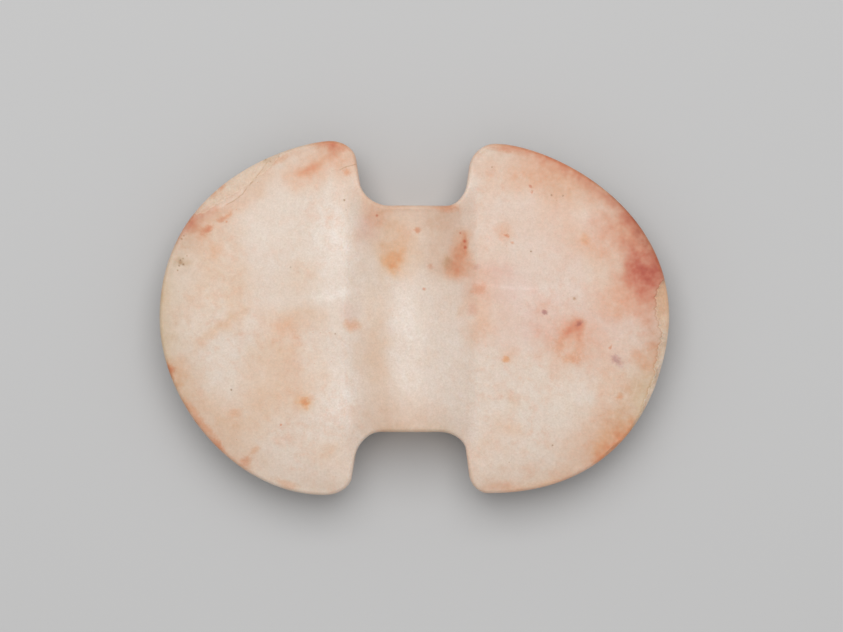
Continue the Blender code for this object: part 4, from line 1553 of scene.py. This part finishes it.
BACK = Staining(
    stains=(
        Stain("warm field", -38.0, 8.0, 70.0, 60.0, 20, Hue.PEACH, 0.8, Edge.CLOUDY),
        Stain("pink field", 44.0, -4.0, 74.0, 66.0, -30, Hue.PINK, 0.6, Edge.CLOUDY),
        Stain("pale barrel", 0.0, 0.0, 70.0, 32.0, 90, Hue.PALE, 0.8, Edge.CLOUDY),
        Stain("rose through the wing", 70.0, 18.0, 24.0, 15.0, -65, Hue.ROSE, 0.7, Edge.CLOUDY),
        Stain("rust at the rim", -66.0, 26.0, 20.0, 9.0, 50, Hue.RUST, 0.5, Edge.BLURRED),
        Stain("orange cloud", 34.0, 36.0, 34.0, 14.0, -20, Hue.ORANGE, 0.45, Edge.CLOUDY),
        Stain("orange spot", -30.0, -30.0, 8.0, 6.0, 10, Hue.ORANGE, 0.7, Edge.BLURRED),
        Stain("lower blush", 52.0, -36.0, 22.0, 12.0, 40, Hue.ORANGE, 0.45, Edge.CLOUDY),
    ),
    veins=(
        Vein("white thread", (-50.0, -12.0), (-14.0, -4.0), 2.0, 0.7, Hue.WHITE, 0.6),
        Vein("rust thread", (24.0, 14.0), (52.0, 22.0), -1.5, 0.3, Hue.RUST, 0.4),
    ),
)


@dataclass
class Bannerstone:
    """The stone's fine skin."""

    sizes: StoneSizes = field(default_factory=StoneSizes)
    wall_rows: int = 5  # rows over the rim's upright wall
    bore_sides: int = 60
    bore_rows: int = 150
    ring_height: float = 0.00008  # of the rings that the drill left
    ring_step: float = 0.0026
    ring_beat: float = 0.0071  # over which they swell and fade
    ring_uneven: float = 0.5  # by how much
    drill_past: float = 0.006  # how far the drill stands out of each mouth
    sharp_angle: float = 38.0  # degrees from which an edge shows as sharp
    mark_range: tuple[float, float] = (-1.0, 3.0)  # millimetres that the scars' mark is kept within
    seed_upper: int = 7
    seed_lower: int = 19

    def heights(self, form: StoneForm, plan: Plan) -> tuple[Array, Array, Array]:
        """Heights of the two faces above the ground.

        Args:
            form: The stone's thickness.
            plan: Its plan.

        Returns:
            The upper face's heights, the lower face's, ground flat at 0, and how far each point is in
            a scar.
        """
        half = form.half_thickness(plan)
        upper, scar = form.scarred(half + form.hand_ground(plan, self.seed_upper), plan)
        lower = half + form.hand_ground(plan, self.seed_lower)
        middle = self.sizes.middle_z
        return middle + upper, np.maximum(middle - lower, 0.0), scar

    def grid(self, plan: Plan, upper: Array, lower: Array) -> Array:
        """The skin's points as rows that pass from the lower core over the rim to the upper core.

        Args:
            plan: The stone's plan.
            upper: Heights of the upper face.
            lower: Heights of the lower face.

        Returns:
            Points as (rows, spokes, 3).
        """
        below = np.concatenate((plan.points, lower[..., None]), axis=2)[::-1]
        above = np.concatenate((plan.points, upper[..., None]), axis=2)
        rise = np.linspace(0.0, 1.0, self.wall_rows + 1)[1:-1, None, None]
        wall = below[-1] + (above[0] - below[-1]) * rise
        return np.concatenate((below, wall, above))

    def painted(self, plan: Plan, rows: int) -> Array:
        """Tints of the wide stains, the rim bands and the painted shade at the rims, row by row of the skin.

        Args:
            plan: The stone's plan.
            rows: How many rows the skin has.

        Returns:
            The tints, the lower face's first, with the rim's wall between the two faces' own tints.
        """
        paint, points, depth = Painting(), plan.points / MILLIMETRE, plan.depth / MILLIMETRE
        # painted shade, darker and warmer towards the wings' rims
        edge = paint.rim_shaded(plan.from_wing / MILLIMETRE)
        below = (paint.tints(points, BACK.wide(), self.seed_lower) * edge)[::-1]
        above = paint.tints(points, FACE.wide(), self.seed_upper) * edge
        above *= paint.banded(depth, plan.headings, FACE.bands)
        share = np.linspace(0.0, 1.0, rows - 2 * len(points) + 2)[1:-1, None, None]
        # the wall's tint is partly painted glow, the warm light that would come through the quartz
        wall = (below[-1] + (above[0] - below[-1]) * share) * np.array(paint.wall)
        return np.concatenate((below, wall, above))

    def skin(self, name: str, form: StoneForm, plan: Plan) -> bpy.types.Object:
        """The closed skin, before its bore.

        The first and last rows lie on the core line, where the spokes of the outline's two halves share
        their points, so spoke k uses the point of spoke 2 n - k there.

        Args:
            name: The object's name.
            form: The stone's thickness.
            plan: Its plan.

        Returns:
            The object. Its attribute "scar" says how far each point lies in a scar, in millimetres, and its
            attribute "painted" holds the tint of the wide stains and the rim bands, with painted shade and
            highlights.
        """
        upper, lower, scar = self.heights(form, plan)
        points = self.grid(plan, upper, lower)
        rows, spokes, _ = points.shape
        index = np.arange(rows * spokes).reshape(rows, spokes)
        own = np.arange(spokes)
        shared = np.minimum(own, (spokes - own) % spokes)
        index[0] = index[0][shared]
        index[-1] = index[-1][shared]
        marks = np.full((rows, spokes), self.mark_range[0])
        marks[-len(scar):] = np.clip(scar / MILLIMETRE, *self.mark_range)
        painted = np.ones((rows, spokes, 4))
        painted[..., :3] = self.painted(plan, rows)
        used, corners = np.unique(belts(index), return_inverse=True)
        mesh = bpy.data.meshes.new(name)
        mesh.from_pydata(points.reshape(-1, 3)[used].tolist(), [], corners.reshape(-1, 4).tolist())
        mark = mesh.attributes.new("scar", "FLOAT", "POINT")
        mark.data.foreach_set("value", marks.reshape(-1)[used].astype(np.float32))
        tint = mesh.attributes.new("painted", "FLOAT_COLOR", "POINT")
        tint.data.foreach_set("color", painted.reshape(-1, 4)[used].astype(np.float32).ravel())
        return in_scene(name, mesh)

    def drill(self) -> bpy.types.Object:
        """The bore's shape: a profile r(y) turned about its axis.

        r = R + wear at the mouths + ring height sin(2 pi y / step) (1 + uneven sin(2 pi y / beat)).

        Returns:
            The object, closed at both ends.
        """
        s = self.sizes
        y = np.linspace(s.lower_end_y - self.drill_past, s.upper_end_y + self.drill_past, self.bore_rows)
        inside = np.minimum(s.upper_end_y - y, y - s.lower_end_y)
        worn = s.mouth_wear * np.clip(1.0 - inside / s.mouth_depth, 0.0, None)
        beat = 1.0 + self.ring_uneven * np.sin(2 * pi * y / self.ring_beat)
        radius = s.bore_diameter / 2 + worn + self.ring_height * np.sin(2 * pi * y / self.ring_step) * beat
        turn = np.linspace(0.0, 2 * pi, self.bore_sides, endpoint=False)
        x = s.bore_x + radius[:, None] * np.cos(turn)
        z = s.middle_z + radius[:, None] * np.sin(turn)
        points = np.stack((x, np.broadcast_to(y[:, None], x.shape), z), axis=-1)
        rows, sides, _ = points.shape
        index = np.arange(rows * sides).reshape(rows, sides)
        faces = belts(index).tolist() + [index[0].tolist(), index[-1][::-1].tolist()]
        mesh = bpy.data.meshes.new("bore")
        mesh.from_pydata(points.reshape(-1, 3).tolist(), [], faces)
        return in_scene("bore", mesh)

    def outwards(self, made: bpy.types.Object) -> None:
        """Turn an object's faces outwards.

        Args:
            made: The object.
        """
        work = bmesh.new()
        work.from_mesh(made.data)
        bmesh.ops.recalc_face_normals(work, faces=work.faces)
        work.to_mesh(made.data)
        work.free()

    def bored(self, stone: bpy.types.Object, drill: bpy.types.Object) -> None:
        """Cut the bore through the stone, and leave the result as its mesh.

        Args:
            stone: The stone, which gets the bored mesh.
            drill: The bore's shape, which is removed.
        """
        cut = stone.modifiers.new("bore", "BOOLEAN")
        cut.operation = "DIFFERENCE"
        cut.solver = "EXACT"
        cut.object = drill
        graph = bpy.context.evaluated_depsgraph_get()
        finished = bpy.data.meshes.new_from_object(stone.evaluated_get(graph))
        stone.modifiers.clear()
        stone.data = finished
        bpy.data.objects.remove(drill)

    def build(self, name: str) -> bpy.types.Object:
        """Make the stone.

        Args:
            name: The object's name.

        Returns:
            The object, without a material.
        """
        form = StoneForm(self.sizes)
        plan = Spokes(self.sizes, Outline(self.sizes)).build(form)
        stone = self.skin(name, form, plan)
        drill = self.drill()
        for item in (stone, drill):
            self.outwards(item)
        self.bored(stone, drill)
        stone.data.shade_smooth()
        stone.data.set_sharp_from_angle(angle=radians(self.sharp_angle))
        return stone

    def dress(self, stone: bpy.types.Object, finish: Quartz) -> None:
        """Give the stone its finish, and put it in the CAD node's place.

        Args:
            stone: The stone.
            finish: Its finish.
        """
        stone.data.materials.clear()
        stone.data.materials.append(finish.material(FACE, BACK))
        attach(stone, BODY)
        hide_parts(NODE)


@dataclass(frozen=True)
class SoftBox:
    """A rectangular lamp: where it stands, the point that it faces, its width and height, and its power."""

    name: str
    place: Point
    aim: Point
    size: tuple[float, float]
    watts: float


@dataclass
class Studio:
    """A plain pale floor under soft light, and a camera that looks straight down."""

    floor_colour: Colour = (0.546, 0.545, 0.545)
    floor_size: float = 6.0
    floor_points: int = 9  # along each side
    floor_cloud: Noise = (0.35, 2.0, 0.5, 0.04)
    floor_roughness: float = 0.9
    floor_sheen: float = 0.1
    sky: Colour = (1.0, 1.0, 1.0)
    sky_strength: float = 0.53
    box: SoftBox = SoftBox("overhead box", (-0.03, 0.55, 1.25), (0.0, 0.0, 0.0), (1.5, 1.2), 12.8)
    view_width: float = 0.2733  # what the photograph's width takes in, at the stone's middle plane
    view_middle: tuple[float, float] = (0.00227, 0.00065)
    camera_height: float = 1.5
    sensor: float = 36.0

    def floor(self) -> bpy.types.Object:
        """A level sheet, as a grid of two parameters.

        Returns:
            The sheet.
        """
        steps = np.linspace(-self.floor_size / 2, self.floor_size / 2, self.floor_points)
        x, y = np.meshgrid(steps, steps, indexing="ij")
        points = np.stack((x, y, np.zeros_like(x)), axis=-1).reshape(-1, 3)
        index = np.arange(x.size).reshape(x.shape)
        quads = np.stack((index[:-1, :-1], index[1:, :-1], index[1:, 1:], index[:-1, 1:]), axis=-1)
        mesh = bpy.data.meshes.new("floor")
        mesh.from_pydata(points.tolist(), [], quads.reshape(-1, 4).tolist())
        made = in_scene("floor", mesh)
        material = bpy.data.materials.new("pale grey sheet")
        board = Board(material)
        even = board.swing(board.wire("TexCoord", {}, {}, "Object"), *self.floor_cloud) + 1.0
        shade = board.tinted(self.floor_colour, board.together(even, even, even))
        board.finished({
            "Base Color": shade,
            "Roughness": self.floor_roughness,
            "Specular IOR Level": self.floor_sheen,
        })
        mesh.materials.append(material)
        return made

    def lamp(self, box: SoftBox) -> bpy.types.Object:
        """A soft box as a light, which the camera doesn't see.

        Args:
            box: The lamp's place, aim, size and power.

        Returns:
            The light.
        """
        light = bpy.data.lights.new(box.name, "AREA")
        light.shape = "RECTANGLE"
        light.size, light.size_y = box.size
        light.energy = box.watts
        made = in_scene(box.name, light)
        made.location = box.place
        made.rotation_euler = (Vector(box.aim) - Vector(box.place)).to_track_quat("-Z", "Y").to_euler()
        made.visible_camera = False
        return made

    def surroundings(self) -> None:
        """An even pale sky, and colours shown as they are measured."""
        world = bpy.data.worlds.new("pale room")
        world.use_nodes = True
        background = world.node_tree.nodes["Background"]
        background.inputs["Color"].default_value = (*self.sky, 1.0)
        background.inputs["Strength"].default_value = self.sky_strength
        bpy.context.scene.world = world
        bpy.context.scene.view_settings.view_transform = "Standard"
        bpy.context.scene.view_settings.look = "None"

    def camera(self, height: float) -> bpy.types.Object:
        """The camera, straight above and unturned, so that it looks down, with a long lens.

        Args:
            height: Height of the plane that the view's width is given at.

        Returns:
            The camera.
        """
        lens = bpy.data.cameras.new("camera")
        lens.sensor_width = self.sensor
        lens.lens = self.sensor * self.camera_height / self.view_width
        made = in_scene("camera", lens)
        made.location = (*self.view_middle, height + self.camera_height)
        bpy.context.scene.camera = made
        return made

    def build(self, height: float) -> None:
        """Set up floor, light and camera.

        Args:
            height: Height of the stone's middle plane.
        """
        self.floor()
        self.lamp(self.box)
        self.surroundings()
        self.camera(height)


def main() -> None:
    """Build the stone and its studio, and log the stone's faces and points."""
    logging.basicConfig(level=logging.INFO, format="%(message)s")
    stone = Bannerstone()
    made = stone.build("quartz_stone")
    stone.dress(made, Quartz())
    logging.info("%s: %d faces, %d points", made.name, len(made.data.polygons), len(made.data.vertices))
    Studio().build(stone.sizes.middle_z)
    logging.info("studio: floor, light and camera")


if __name__ == "__main__":
    main()
